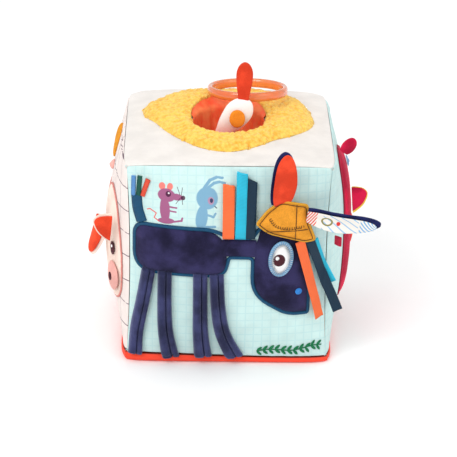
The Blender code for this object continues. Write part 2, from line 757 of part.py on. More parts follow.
def make_hen(groups):
    parts = groups[0]
    body = rounded(
        [(y * MM, z * MM) for y, z in
         [(-50, 92), (-52, 50), (-42, 34), (34, 33), (62, 66), (60, 112), (20, 104), (-6, 152), (-46, 152),
          (-48, 116)]],
        16 * MM,
    )
    lay_on("hen_body_pad", "right", body, "crimson_velour", PAD_THICK, groups, cell=12 * MM)
    over = PAD_THICK + GAP
    eye = ellipse((-13 * MM, 141 * MM), 3.4 * MM, 4.2 * MM, count=14)
    lay_on("hen_eye_patch", "right", eye, "blue_embroidery", PATCH_THICK, groups, over)
    wing = ellipse((22 * MM, 72 * MM), 24 * MM, 15 * MM, -0.3)
    lay_on("hen_wing_pad", "right", wing, "coral_velour", 3 * MM, groups, over)
    make_flap("hen_comb", HEN_COMB_AT, (0.55, 0, 0.84), (0.3, -1, 0), (14 * MM, 13 * MM),
              "crimson_velour", parts, (-1.7 * MM, 3.4 * MM))
    make_ear(
        "hen_cheek", HEN_CHEEK_AT, (1, -0.1, 0.08), (-0.1, -1, 0), (12 * MM, 21 * MM),
        ("yellow_cotton", "crimson_velour"), parts, cup=-1.5 * MM, wedge=True,
    )


def make_seam_tag(parts):
    """A short folded ribbon caught in the front right seam."""
    path = [(0.0, 0.0), (5.0 * MM, -0.6 * MM), (6.6 * MM, 0.0), (5.0 * MM, 0.6 * MM), (0.0, 0.6 * MM)]
    width = 7 * MM

    def place(u, v):
        t = (u + 1) / 2 * (len(path) - 1)
        i = min(int(t), len(path) - 2)
        share = t - i
        out = path[i][0] * (1 - share) + path[i + 1][0] * share
        side = path[i][1] * (1 - share) + path[i + 1][1] * share
        return SEAM_TAG_AT + Vector((out * 0.75 + side, -out * 0.66 + side, v * width / 2))

    bm = surface_grid(8, 1, place, Vector((0, -1, 0)))
    tag = add_object("seam_tag", bm, "crimson_velour", parts)
    thicken(tag, 0.5 * MM, outward=True)
    pivot_at(tag, SEAM_TAG_AT)


# ---- the toy in the pocket
CHARM_AT = Vector((4, -13, 172)) * MM  # middle of the stuffed drop
LOOP_R = 5.4 * MM  # clears the ring's band whichever way the ring turns
LOOP_WIDE = 5 * MM
LOOP_X = 11.5 * MM
CHARM_LONG, CHARM_WIDE, CHARM_DEEP = 22 * MM, 14.5 * MM, 7 * MM  # half sizes
CHARM_TURN = math.radians(38)  # the pointed end leans down to the left
LEAF_AT = Vector((11.3, -13, 192)) * MM


def ring_front():
    """The middle of the ring's band where it comes nearest to -Y."""
    lift = RING_MAJOR * math.sin(RING_LEAN)
    return RING_AT + Vector((0, -RING_MAJOR * math.cos(RING_LEAN), lift))


def make_loop(groups):
    """The ribbon that ties the ring to the drop: a band round the ring, its ends sewn together."""
    parts, cutters = groups
    centre = ring_front()
    data = bpy.data.curves.new("charm_loop", "CURVE")
    data.dimensions = "2D"
    data.fill_mode = "BOTH"
    data.extrude = LOOP_WIDE / 2
    hole = ellipse((0, 0), LOOP_R, LOOP_R)
    around = ellipse((0, 0), LOOP_R + 0.7 * MM, LOOP_R + 0.7 * MM, count=24)
    outer = [p for p in around if p.x > -LOOP_R * 0.93]
    outer.sort(key=lambda p: math.atan2(p.y, p.x))
    tail = [Vector((-LOOP_R - 2.6 * MM, 0.8 * MM)), Vector((-LOOP_R - 2.6 * MM, -0.8 * MM))]
    for outline in (outer + tail, hole):
        spline = data.splines.new("POLY")
        spline.points.add(len(outline) - 1)
        for point, at in zip(spline.points, outline):
            point.co = (at.x, at.y, 0.0, 1.0)
        spline.use_cyclic_u = True
    curve = bpy.data.objects.new("charm_loop_outline", data)
    cutters.objects.link(curve)
    curve.matrix_world = Matrix.Rotation(math.pi / 2, 4, "Z") @ Matrix.Rotation(math.pi / 2, 4, "X")
    bpy.context.view_layer.update()
    mesh = bpy.data.meshes.new_from_object(
        curve.evaluated_get(bpy.context.evaluated_depsgraph_get())
    )
    bm = bmesh.new()
    bm.from_mesh(mesh)
    bmesh.ops.remove_doubles(bm, verts=bm.verts, dist=0.00001)
    bmesh.ops.recalc_face_normals(bm, faces=bm.faces)
    bm.transform(curve.matrix_world)
    bpy.data.objects.remove(curve)
    loop = add_object("charm_loop", bm, "coral_cloth", parts)
    loop.location = (LOOP_X, centre.y, centre.z)


def make_pocket_toy(groups):
    parts = groups[0]
    bpy.ops.mesh.primitive_torus_add(
        major_segments=28, minor_segments=10, major_radius=RING_MAJOR, minor_radius=RING_HALF_WALL
    )
    ring = bpy.context.active_object
    ring.name = "teether_ring"
    for owner in list(ring.users_collection):
        owner.objects.unlink(ring)
    parts.objects.link(ring)
    ring.data.materials.append(material("orange_plastic"))
    band = Matrix.Diagonal((1, 1, RING_HALF_BAND / RING_HALF_WALL, 1))
    lean = Matrix.Rotation(-RING_LEAN, 4, "X")
    ring.data.transform(Matrix.Translation(RING_AT) @ lean @ band)
    pivot_at(ring, ring_front())

    bm = bmesh.new()
    bmesh.ops.create_uvsphere(bm, u_segments=16, v_segments=10, radius=1.0)
    spin = Matrix.Rotation(-CHARM_TURN, 3, "Y")
    for vert in bm.verts:
        along = vert.co.z
        taper = 0.62 + 0.38 * along
        shape = Vector((vert.co.x * CHARM_WIDE * taper, vert.co.y * CHARM_DEEP * taper, along * CHARM_LONG))
        vert.co = spin.inverted() @ shape
    drop = add_object("charm_body", bm, "white_velour", parts)
    drop.location = CHARM_AT

    bm = bmesh.new()
    bmesh.ops.create_cone(
        bm, cap_ends=True, segments=16, radius1=5.4 * MM, radius2=5.4 * MM, depth=0.8 * MM
    )
    spot = add_object("charm_spot", bm, "orange_felt", parts)
    spot.rotation_euler = (math.pi / 2 - 0.12, 0, 0)
    spot.location = CHARM_AT + Vector((3.5 * MM, -CHARM_DEEP - 0.5 * MM, 6 * MM))

    make_flap(
        "charm_leaf", LEAF_AT, (0.03, 0, 1), (0, -1, 0), (29.5 * MM, 12.5 * MM), "coral_velour", parts,
        (-2.2 * MM, 4.4 * MM),
    )
    make_loop(groups)


def main():
    clear_scene()
    parts = make_collection("baby_activity_cube")
    cutters = make_collection("cutters")
    groups = (parts, cutters)
    make_cube(groups)
    make_donkey_pads(groups)
    make_tail(groups)
    make_legs(groups)
    make_ribbons(groups)
    make_bridle(groups)
    make_donkey_ears(parts)
    make_pig(groups)
    make_hen(groups)
    make_seam_tag(parts)
    make_pocket_toy(groups)


main()
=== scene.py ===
import math

import bmesh
import bpy
import numpy as np
from mathutils import Matrix, Vector, noise


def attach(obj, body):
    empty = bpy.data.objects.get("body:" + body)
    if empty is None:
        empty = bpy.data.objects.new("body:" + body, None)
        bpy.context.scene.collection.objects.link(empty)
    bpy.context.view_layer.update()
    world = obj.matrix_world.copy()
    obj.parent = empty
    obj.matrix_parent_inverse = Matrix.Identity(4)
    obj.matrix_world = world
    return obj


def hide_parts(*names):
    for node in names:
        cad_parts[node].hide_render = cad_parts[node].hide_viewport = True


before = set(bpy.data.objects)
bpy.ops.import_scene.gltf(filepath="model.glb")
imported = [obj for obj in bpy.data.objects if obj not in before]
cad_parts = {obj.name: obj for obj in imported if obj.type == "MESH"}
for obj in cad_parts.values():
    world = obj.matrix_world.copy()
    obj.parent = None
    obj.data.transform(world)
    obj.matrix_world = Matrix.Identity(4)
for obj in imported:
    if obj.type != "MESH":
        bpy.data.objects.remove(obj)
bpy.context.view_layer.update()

mm = 0.001
print("frame loaded")


# colours are written as the dyer's hex codes and turned linear once
def dye(code, shade=1.0):
    parts = [int(code[i:i + 2], 16) / 255 for i in (0, 2, 4)]
    linear = [p / 12.92 if p <= 0.04045 else ((p + 0.055) / 1.055) ** 2.4 for p in parts]
    return (*[min(1.0, p * shade) for p in linear], 1.0)


class Tone:
    # one output of a shader node, used in sums the way a number is
    def __init__(self, finish, socket):
        self.finish = finish
        self.socket = socket

    def work(self, operation, *parts):
        return self.finish.add("ShaderNodeMath", {"operation": operation}, parts)

    def __add__(self, other):
        return self.work("ADD", self, other)

    def __radd__(self, other):
        return self.work("ADD", other, self)

    def __sub__(self, other):
        return self.work("SUBTRACT", self, other)

    def __rsub__(self, other):
        return self.work("SUBTRACT", other, self)

    def __mul__(self, other):
        return self.work("MULTIPLY", self, other)

    def __rmul__(self, other):
        return self.work("MULTIPLY", other, self)

    def __truediv__(self, other):
        return self.work("DIVIDE", self, other)

    def wave(self, period, shift=0.0):  # -1 to 1, once in each period
        return self.work("SINE", self * (2 * math.pi / period) + shift)

    def top(self, other):
        return self.work("MAXIMUM", self, other)

    def low(self, other):
        return self.work("MINIMUM", self, other)

    def size(self):
        return self.work("ABSOLUTE", self)

    def ease(self, start, end):  # 0 below start, 1 above end, smooth between
        settings = {"interpolation_type": "SMOOTHSTEP"}
        return self.finish.add("ShaderNodeMapRange", settings, (self, start, end, 0.0, 1.0))


class Finish:
    # one Principled material and the nodes that vary it
    def __init__(self, name, **constants):
        self.material = bpy.data.materials.new(name)
        self.material.use_nodes = True
        self.tree = self.material.node_tree
        self.shader = self.tree.nodes["Principled BSDF"]
        for key, value in constants.items():
            self.shader.inputs[socketNames[key]].default_value = value
        self.seat = None

    def add(self, kind, settings, inputs, out=0):
        node = self.tree.nodes.new(kind)
        for key, value in settings.items():
            setattr(node, key, value)
        for key, value in inputs.items() if isinstance(inputs, dict) else enumerate(inputs):
            self.feed(node.inputs[key], value)
        return Tone(self, node.outputs[out])

    def feed(self, socket, value):
        if isinstance(value, Tone):
            self.tree.links.new(value.socket, socket)
        else:
            socket.default_value = value

    def place(self):  # the cloth's own position, in millimetres
        if self.seat is None:
            spot = self.add("ShaderNodeTexCoord", {}, {}, "Object")
            self.seat = self.add("ShaderNodeVectorMath", {"operation": "SCALE"}, {0: spot, "Scale": 1000.0})
        return self.seat

    def axes(self):
        return [self.add("ShaderNodeSeparateXYZ", {}, (self.place(),), k) for k in range(3)]

    def mark(self, name):  # a number stored on the mesh
        return self.add("ShaderNodeAttribute", {"attribute_name": name}, {}, "Fac")

    def cloud(self, size, detail=2.0, rough=0.5):  # soft noise from 0 to 1
        inputs = {"Vector": self.place(), "Scale": 1 / size, "Detail": detail, "Roughness": rough}
        return self.add("ShaderNodeTexNoise", {}, inputs, 0)

    def ovalMask(self, x, y, centreX, centreY, radiusX, radiusY, turn=0.0):
        c, s = math.cos(turn), math.sin(turn)
        dx, dy = x - centreX, y - centreY
        u = (dx * c + dy * s) / radiusX
        v = (dy * c - dx * s) / radiusY
        return 1 - (u * u + v * v).ease(0.86, 1.14)

    def lineMask(self, x, y, startX, startY, endX, endY, width):
        length = math.hypot(endX - startX, endY - startY)
        runX, runY = (endX - startX) / length, (endY - startY) / length
        dx, dy = x - startX, y - startY
        along = (dx * runX + dy * runY).top(0.0).low(length)
        offX, offY = dx - along * runX, dy - along * runY
        return 1 - (offX * offX + offY * offY).ease(width * width * 0.14, width * width * 0.36)

    def mix(self, colourA, colourB, share):
        settings = {"data_type": "RGBA"}
        return self.add("ShaderNodeMix", settings, {0: share, 6: colourA, 7: colourB}, 2)

    def paint(self, colour):
        self.feed(self.shader.inputs["Base Color"], colour)

    def gloss(self, roughness):
        self.feed(self.shader.inputs["Roughness"], roughness)

    def emboss(self, height, depth):  # depth in millimetres for a height of 1
        inputs = {"Height": height, "Distance": depth * mm, "Strength": 1.0}
        self.feed(self.shader.inputs["Normal"], self.add("ShaderNodeBump", {}, inputs))


socketNames = {
    "roughness": "Roughness",
    "metallic": "Metallic",
    "sheen": "Sheen Weight",
    "sheenRoughness": "Sheen Roughness",
    "sheenTint": "Sheen Tint",
    "specular": "Specular IOR Level",
    "coat": "Coat Weight",
    "coatRoughness": "Coat Roughness",
    "clear": "Transmission Weight",
    "ior": "IOR",
    "scatter": "Subsurface Weight",
    "scatterDepth": "Subsurface Scale",
    "scatterSpread": "Subsurface Radius",
}


# finishes that several pieces share
def velour(name, code, tip, shade=0.74, lift=1.35, pile=0.6, sheen=0.35):
    made = Finish(name, roughness=0.95, sheen=sheen, sheenRoughness=0.45, sheenTint=dye(tip), specular=0.12)
    nap = made.cloud(22, 2, 0.55).ease(0.34, 0.68)
    fibre = made.cloud(pile, 2)
    grain = made.cloud(2.2, 2)
    share = (nap * 0.6 + grain * 0.25 + fibre * 0.35 - 0.1).ease(0.1, 0.95)
    made.paint(made.mix(dye(code, shade), dye(code, lift), share))
    made.emboss(fibre * 0.7 + grain * 0.6, 0.45)
    return made


def weave(made, across, up, pitch=0.8):  # plain weave height, from the two directions of its yarn
    warp = across.wave(pitch)
    weft = up.wave(pitch)
    return (warp * weft) * 0.5 + made.cloud(0.5, 1) * 0.8


def cotton(name, walls, sheen=0.1):
    made = Finish(name, roughness=0.9, sheen=sheen, specular=0.2)
    axes = made.axes()
    across, up = axes[walls[0]], axes[walls[1]]
    slub = made.cloud(14, 3)
    yarn = weave(made, across, up)
    return made, across, up, slub, yarn


def stitched(name, code, pitch=0.9, lift=1.3, shade=0.62):  # packed embroidery thread, lying across its band
    made = Finish(name, roughness=0.6, sheen=0.08, sheenTint=dye(code, lift), specular=0.3)
    lie = made.mark("along").wave(pitch)
    fray = made.cloud(1.5, 2)
    # the thread crowns are painted lighter and the grooves between the stitches darker along the thread's
    # wave: painted shade and highlight, mixed with random fray
    share = (lie * 0.32 + 0.5 + (fray - 0.5) * 0.5).ease(0.05, 1.0)
    made.paint(made.mix(dye(code, shade), dye(code, lift), share))
    made.emboss(lie * 0.5 + fray * 0.4, 0.22)
    return made


def grosgrain(name, code, rib=1.0):
    made = Finish(name, roughness=0.5, sheen=0.08, sheenTint=dye(code, 1.6), specular=0.3)
    ribs = made.mark("along").wave(rib)
    selvedge = made.mark("across").size().ease(0.84, 0.9)
    soft = made.cloud(11, 2)
    # the rib crowns are painted a little lighter than the grooves between them: painted shade along the ribs;
    # the soft patches are random tone and the selvedge is lighter
    share = (ribs * 0.18 + 0.45 + (soft - 0.5) * 0.5 + selvedge * 0.2).ease(0.0, 1.0)
    made.paint(made.mix(dye(code, 0.75), dye(code, 1.25), share))
    made.emboss(ribs * (1 - selvedge) * 0.6 + selvedge * 0.5, 0.12)
    made.gloss(0.42 + 0.2 * soft)
    return made


def felt(name, code, shade=0.75, lift=1.3):
    made = Finish(name, roughness=0.95, sheen=0.3, sheenTint=dye(code, 1.3), specular=0.15)
    fibre = made.cloud(0.9, 4, 0.7)
    patchy = made.cloud(8, 2)
    made.paint(made.mix(dye(code, shade), dye(code, lift), (fibre * 0.6 + patchy * 0.4).ease(0.2, 0.8)))
    made.emboss(fibre, 0.35)
    return made


# the stuffed cube's surface, in millimetres, as the frame has it
cube = {
    "half": 80.0, "seamLow": 9.0, "seamHigh": 162.0, "bulge": 12.0, "pinch": 4.0,
    "topBulge": 5.0, "fullness": 2.4, "backLift": 4.5, "cornerLift": 0.55,
    "lip": 2.0, "lipShare": 0.1, "sag": 4.6, "cornerRound": 3.4,
}
midUp = (cube["seamLow"] + cube["seamHigh"]) / 2
halfUp = (cube["seamHigh"] - cube["seamLow"]) / 2


def full(t):
    return 1 - np.minimum(np.abs(t), 1) ** cube["fullness"]


def seamReach(up):  # half the wall's width at a height, as the upright seams pull in
    return cube["half"] - cube["pinch"] * full((up - midUp) / halfUp)


def wallDepth(across, up):
    swell = full((up - midUp) / halfUp)
    reach = seamReach(up)
    return reach + (cube["bulge"] + cube["pinch"]) * full(across / reach) * swell


def easedStep(t):
    t = np.clip(t, 0, 1)
    return t * t * (3 - 2 * t)


def plump(points):  # the back of the top is stuffed fuller, and the front sags at its right foot
    x, y, z = points[..., 0], points[..., 1], points[..., 2]
    lift = easedStep((z - 100) / 62) * easedStep((y + 45) / 105)
    lift *= cube["cornerLift"] + (1 - cube["cornerLift"]) * full(x / cube["half"])
    sag = np.where(z < 9, z / 9, 1 - easedStep((z - 9) / 50))
    sag *= (0.45 + 0.55 * easedStep((x + 75) / 120)) * easedStep((-y - 10) / 70)
    corner = np.minimum(np.abs(x * y) / cube["half"] ** 2, 1) ** 9 * cube["cornerRound"]
    drop = corner * easedStep((z - 140) / 22) * 0.8
    return points + np.stack([-np.sign(x) * corner, -np.sign(y) * corner,
                              cube["backLift"] * lift - cube["sag"] * sag - drop], -1)


def creases(along, start):  # the uneven gathers along a seam, -1 to 1
    beat = np.sin(along / 1.5 + 1.9 * np.sin(along / 5.3 + start) + start)
    return beat * (0.55 + 0.45 * np.sin(along / 8.9 + 2.3 * start))


def gathers(wall, a, b):  # how far the cloth stands off its smooth shape
    if wall in ("top", "under"):
        edges = [(cube["half"] - b, a, 0.35, 6), (cube["half"] + b, a, 0.2, 7),
                 (cube["half"] - a, b, 0.35, 6), (cube["half"] + a, b, 0.35, 6)]
    else:
        reach = seamReach(b)
        edges = [(cube["seamHigh"] - b, a, 1.35, 14), (b - cube["seamLow"], a, 0.5, 8),
                 (reach - a, b, 0.4, 7), (reach + a, b, 0.4, 7)]
    start = {"front": 0.4, "back": 1.3, "left": 2.1, "right": 3.4, "top": 4.2, "under": 5.0}[wall]
    off = np.zeros_like(a)
    for i, (gap, along, depth, fade) in enumerate(edges):
        gap = np.maximum(gap, 0)
        off += depth * creases(along, start + i) * np.exp(-gap / fade) * (1 - np.exp(-gap / 1.6))
        off -= 1.2 * np.exp(-gap / 0.9)
    return off


def tucked(t, reach):  # the last millimetre of cloth turns in towards the seam
    return t - np.sign(t) * 1.2 * np.exp(-np.maximum(reach - np.abs(t), 0) / 0.9)


def onWall(wall, a, b, out=0.0, ruffled=True):
    a, b = np.broadcast_arrays(np.asarray(a, float), np.asarray(b, float))
    if ruffled:
        out = out + gathers(wall, a, b)
        if wall in ("top", "under"):
            a, b = tucked(a, cube["half"]), tucked(b, cube["half"])
        else:
            a, b = tucked(a, seamReach(b)), midUp + tucked(b - midUp, halfUp)
    if wall == "front":
        points = (a, -wallDepth(a, b) - out, b)
    elif wall == "back":
        points = (a, wallDepth(a, b) + out, b)
    elif wall == "left":
        points = (-wallDepth(a, b) - out, a, b)
    elif wall == "right":
        points = (wallDepth(a, b) + out, a, b)
    elif wall == "top":
        swell = cube["topBulge"] * full(a / cube["half"]) * full(b / cube["half"])
        points = (a, b, cube["seamHigh"] + swell + out)
    else:
        edge = np.maximum(np.maximum(np.abs(a), np.abs(b)) / cube["half"], 1e-6)
        turn = np.clip((1 - edge) / cube["lipShare"], 0, 1)
        reach = cube["half"] + cube["lip"] * np.sin(math.pi * turn) - 1.5 * turn
        grow = np.where(turn < 1, reach / edge, (cube["half"] - 1.5) / (1 - cube["lipShare"])) / cube["half"]
        points = (a * grow, b * grow, np.maximum(cube["seamLow"] * (1 - turn) ** 1.25 - out, 0.0))
    return plump(np.stack(points, -1))


# outlines, in millimetres on a wall
def rounded(corners, steps=7):  # corners are (across, up, radius)
    points = []
    for i, (x, y, radius) in enumerate(corners):
        here = np.array((x, y), float)
        back = np.array(corners[i - 1][:2], float) - here
        ahead = np.array(corners[(i + 1) % len(corners)][:2], float) - here
        reach = min(radius, np.linalg.norm(back) * 0.49, np.linalg.norm(ahead) * 0.49)
        start = here + back / np.linalg.norm(back) * reach
        end = here + ahead / np.linalg.norm(ahead) * reach
        for t in np.linspace(0, 1, steps):
            points.append(start * (1 - t) ** 2 + here * 2 * t * (1 - t) + end * t ** 2)
    return np.array(points)


def oval(x, y, radiusX, radiusY, turn=0.0, count=40):
    t = np.linspace(0, 2 * math.pi, count, endpoint=False)
    c, s = math.cos(turn), math.sin(turn)
    px, py = radiusX * np.cos(t), radiusY * np.sin(t)
    return np.stack([x + c * px - s * py, y + s * px + c * py], -1)


def smoothLine(points, steps=8):  # a Catmull-Rom line through points of any dimension
    p = np.array(points, float)
    p = np.vstack([2 * p[0] - p[1], p, 2 * p[-1] - p[-2]])
    line = []
    for i in range(1, len(p) - 2):
        for t in np.linspace(0, 1, steps, endpoint=False):
            a, b, c, d = p[i - 1:i + 3]
            line.append(0.5 * (2 * b + (c - a) * t + (2 * a - 5 * b + 4 * c - d) * t * t
                               + (3 * b - a - 3 * c + d) * t ** 3))
    line.append(p[-2])
    return np.array(line)


def evenly(points, step, closed):
    p = np.vstack([points, points[:1]]) if closed else np.array(points)
    lengths = np.linalg.norm(np.diff(p, axis=0), axis=1)
    run = np.concatenate([[0], np.cumsum(lengths)])
    count = max(3, int(round(run[-1] / step)))
    at = np.linspace(0, run[-1], count + 1)[: count if closed else count + 1]
    return np.stack([np.interp(at, run, p[:, k]) for k in range(p.shape[1])], -1), at


def headings(points, closed):  # unit tangents
    if closed:
        run = np.roll(points, -1, 0) - np.roll(points, 1, 0)
    else:
        run = np.gradient(points, axis=0)
    return run / np.maximum(np.linalg.norm(run, axis=1, keepdims=True), 1e-9)


# meshes
def gridFaces(rows, columns, loop=False):
    faces = []
    for i in range(rows - 1):
        for j in range(columns if loop else columns - 1):
            k = (j + 1) % columns
            faces.append((i * columns + j, i * columns + k, (i + 1) * columns + k, (i + 1) * columns + j))
    return faces


def makeMesh(name, points, faces, finish, marks=None, outward=None):
    mesh = bpy.data.meshes.new(name)
    mesh.from_pydata((np.asarray(points) * mm).tolist(), [], faces)
    for key, values in (marks or {}).items():
        stored = mesh.attributes.new(key, "FLOAT", "POINT")
        stored.data.foreach_set("value", np.asarray(values, np.float32))
    shape = bmesh.new()
    shape.from_mesh(mesh)
    if outward is None:
        bmesh.ops.recalc_face_normals(shape, faces=shape.faces)
    elif sum((face.normal for face in shape.faces), Vector()).dot(Vector(outward)) < 0:
        bmesh.ops.reverse_faces(shape, faces=shape.faces)
    shape.to_mesh(mesh)
    shape.free()
    mesh.polygons.foreach_set("use_smooth", np.ones(len(mesh.polygons), bool))
    mesh.materials.append(finish.material)
    piece = bpy.data.objects.new(name, mesh)
    bpy.context.scene.collection.objects.link(piece)
    return piece


def sew(piece, body, slot, *nodes):
    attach(piece, body)
    if nodes:
        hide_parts(*nodes)
    return piece


def thicken(piece, thickness):
    cloth = piece.modifiers.new("clothThickness", "SOLIDIFY")
    cloth.thickness = thickness * mm
    cloth.offset = -1.0
    return piece


def lumps(points, size, depth):  # soft unevenness of stuffing
    return np.array([noise.noise(Vector(p) / size) for p in points]) * depth


stuffing = {"pressure": 4.0, "frames": 20, "mostSwell": 1.1, "slack": 0.9}


def swell(piece, heldPoints):  # cloth simulation: the sewn rim is held and the stuffing presses the cloth out
    scene = bpy.context.scene
    count = len(piece.data.vertices)
    before = np.empty(count * 3)
    piece.data.vertices.foreach_get("co", before)
    trial = bpy.data.objects.new("trial", piece.data.copy())
    scene.collection.objects.link(trial)
    trial.vertex_groups.new(name="held").add(heldPoints, 1.0, "REPLACE")
    cloth = trial.modifiers.new("cloth", "CLOTH")
    cloth.settings.quality = 6
    cloth.settings.vertex_group_mass = "held"
    cloth.settings.use_pressure = True
    cloth.settings.uniform_pressure_force = stuffing["pressure"]
    cloth.settings.effector_weights.gravity = 0
    for number in range(1, stuffing["frames"] + 1):
        scene.frame_set(number)
    settled = trial.evaluated_get(bpy.context.evaluated_depsgraph_get())
    after = np.empty(count * 3)
    settled.data.vertices.foreach_get("co", after)
    shift = (after - before).reshape(-1, 3)
    far = np.linalg.norm(shift, axis=1, keepdims=True)
    shift *= np.minimum(1, stuffing["mostSwell"] * mm / np.maximum(far, 1e-9))
    spare = trial.data
    bpy.data.objects.remove(trial)
    bpy.data.meshes.remove(spare)
    scene.frame_set(1)
    piece.data.vertices.foreach_set("co", before + shift.ravel())
    piece.data.update()


def stuffedOnWall(name, wall, outline, finish, rise, **options):  # a pad whose cloth settles by simulation
    slack = stuffing["slack"]
    piece = padOnWall(name, wall, outline, finish, rise - slack, **options)
    rim, _ = evenly(outline, 1.3, True)
    swell(piece, list(range(len(rim) * 2)) + [len(piece.data.vertices) - 1])
    return piece


def padOnWall(name, wall, outline, finish, rise, level=0.3, soft=3.5, edge=0.7, lumpy=0.3, centre=None):
    # a stuffed shape: it climbs from its stitched rim to its full height within a few millimetres
    rim, _ = evenly(outline, 1.3, True)
    middle = rim.mean(0) if centre is None else np.array(centre, float)
    reach = np.linalg.norm(rim - middle, axis=1)
    shares = 1 - (np.linspace(0, 1, 17)[:-1] ** 1.7)
    flat = [rim]
    heights = [np.full(len(rim), level - 0.25)]
    for share in shares:
        ring = middle + (rim - middle) * share
        inset = (1 - share) * reach * 0.85
        climb = 1 - np.exp(-inset / soft)
        flat.append(ring)
        heights.append(level + edge + (rise - edge) * climb + 0.35 * (1 - share))
    flat = np.vstack(flat + [middle[None]])
    heights = np.concatenate(heights + [[level + rise + 0.35]])
    bumps = lumps(np.column_stack([flat, np.full(len(flat), rise)]), 11.0, lumpy)
    heights[len(rim):] += bumps[len(rim):]
    points = onWall(wall, flat[:, 0], flat[:, 1], heights)
    foot = onWall(wall, middle[0], middle[1], level - 0.25)
    points = np.vstack([points, foot[None]])
    rows = len(shares) + 1
    faces = gridFaces(rows, len(rim), loop=True)
    top, last = len(points) - 2, (rows - 1) * len(rim)
    for j in range(len(rim)):
        k = (j + 1) % len(rim)
        faces.append((last + j, last + k, top))
        faces.append((j, len(points) - 1, k))
    return makeMesh(name, points, faces, finish)


def bandProfile(width, height, count=7):
    t = np.linspace(-1, 1, count)
    return t * width / 2, height * np.sqrt(np.maximum(0, 1 - t * t))


def bandPoints(path, at, closed, width, height):
    # a low rope of thread along a path: (across, up, out) rows and its marks
    turn = headings(path, closed)
    normal = np.stack([-turn[:, 1], turn[:, 0]], -1)
    side, rise = bandProfile(width, height)
    side = np.concatenate([side, side[::-1][1:-1]])
    rise = np.concatenate([rise, np.full(len(rise) - 2, -0.15)])
    flat = path[:, None, :] + normal[:, None, :] * side[None, :, None]
    out = np.broadcast_to(rise, flat.shape[:2])
    along = np.broadcast_to(at[:, None], flat.shape[:2])
    return flat.reshape(-1, 2), out.reshape(-1), along.reshape(-1), len(side)


def bandOnWall(name, wall, path, finish, width, height, level, closed=True, step=0.9):
    line, at = evenly(path, step, closed)
    flat, out, along, columns = bandPoints(line, at, closed, width, height)
    points = onWall(wall, flat[:, 0], flat[:, 1], out + level)
    faces = gridFaces(len(line), columns, loop=True)
    if closed:
        last = (len(line) - 1) * columns
        for j in range(columns):
            k = (j + 1) % columns
            faces.append((last + j, last + k, k, j))
    else:
        faces.append(tuple(range(columns)))
        faces.append(tuple(range((len(line) - 1) * columns, len(line) * columns)))
    return makeMesh(name, points, faces, finish, {"along": along})


def tubePoints(path, thick, sides=6):  # one thread through 3-D points, thin at both ends
    p = np.array(path, float)
    run = headings(p, False)
    helper = np.array((0.31, 0.52, 0.79))
    side = np.cross(run, helper)
    side /= np.linalg.norm(side, axis=1, keepdims=True)
    other = np.cross(run, side)
    taper = np.ones(len(p))
    taper[0] = taper[-1] = 0.45
    angle = np.linspace(0, 2 * math.pi, sides, endpoint=False)
    ring = (np.cos(angle)[None, :, None] * side[:, None, :]
            + np.sin(angle)[None, :, None] * other[:, None, :])
    return (p[:, None, :] + ring * (thick * taper)[:, None, None]).reshape(-1, 3)


def threads(name, paths, finish, thick=0.3, sides=6):  # many short stitches in one piece
    points, faces, along = [], [], []
    for path in paths:
        base = sum(len(q) for q in points)
        made = tubePoints(path, thick, sides)
        points.append(made)
        along.append(np.repeat(np.arange(len(path)) * 0.4, sides))
        faces += [tuple(base + i for i in face) for face in gridFaces(len(path), sides, loop=True)]
        faces.append(tuple(base + i for i in range(sides)))
        faces.append(tuple(base + len(made) - sides + i for i in range(sides)))
    return makeMesh(name, np.vstack(points), faces, finish, {"along": np.concatenate(along)})


def runStitches(wall, path, level, length=2.4, gap=1.5, arch=0.35, closed=False):
    # the visible dashes of a running stitch
    line, at = evenly(path, 0.4, closed)
    dashes = []
    start = 0.0
    while start + length < at[-1]:
        spots = np.linspace(start, start + length, 5)
        a = np.interp(spots, at, line[:, 0])
        b = np.interp(spots, at, line[:, 1])
        rise = level + arch * np.array([0, 0.8, 1, 0.8, 0])
        dashes.append(onWall(wall, a, b, rise))
        start += length + gap
    return dashes


# the cloth walls
panels = {
    "sky": "CAE6E3", "skyLine": "9FD2D8", "cream": "F0E4DF", "plumLine": "4E2545", "ivory": "E9E4DF",
    "coral": "FF4E36", "cells": 84,
}


def skyCloth(name, walls):
    made, across, up, slub, yarn = cotton(name, walls)
    lineA = (across + slub * 1.2).wave(6.4).ease(0.8, 1.0)
    lineB = (up + slub * 0.8).wave(6.4).ease(0.8, 1.0)
    check = lineA.top(lineB) * (0.5 + made.cloud(30, 2))
    ground = made.mix(dye(panels["sky"], 0.94), dye(panels["sky"], 1.06), slub.ease(0.25, 0.75))
    return made, across, up, yarn, made.mix(ground, dye(panels["skyLine"]), check * 0.26)


def linedCloth(name, walls):
    made, across, up, slub, yarn = cotton(name, walls)
    wobble = (made.cloud(38, 2) - 0.5) * 5
    level = (up + wobble + across * 0.05).wave(19.0).ease(0.988, 0.9965)
    upright = (across + wobble).wave(21.0, 1.2).ease(0.992, 0.998)
    broken = made.cloud(9, 2).ease(0.3, 0.42)
    ground = made.mix(dye(panels["cream"], 0.93), dye(panels["cream"], 1.04), slub.ease(0.25, 0.75))
    made.paint(made.mix(ground, dye(panels["plumLine"]), (level.top(upright * 0.6)) * broken * 0.9))
    made.emboss(yarn, 0.1)
    return made


def plainCloth(name, code, walls, sheen=0.1):
    made, _, _, slub, yarn = cotton(name, walls, sheen)
    made.paint(made.mix(dye(code, 0.9), dye(code, 1.05), (slub * 0.8 + yarn * 0.2).ease(0.2, 0.8)))
    made.emboss(yarn, 0.1)
    return made


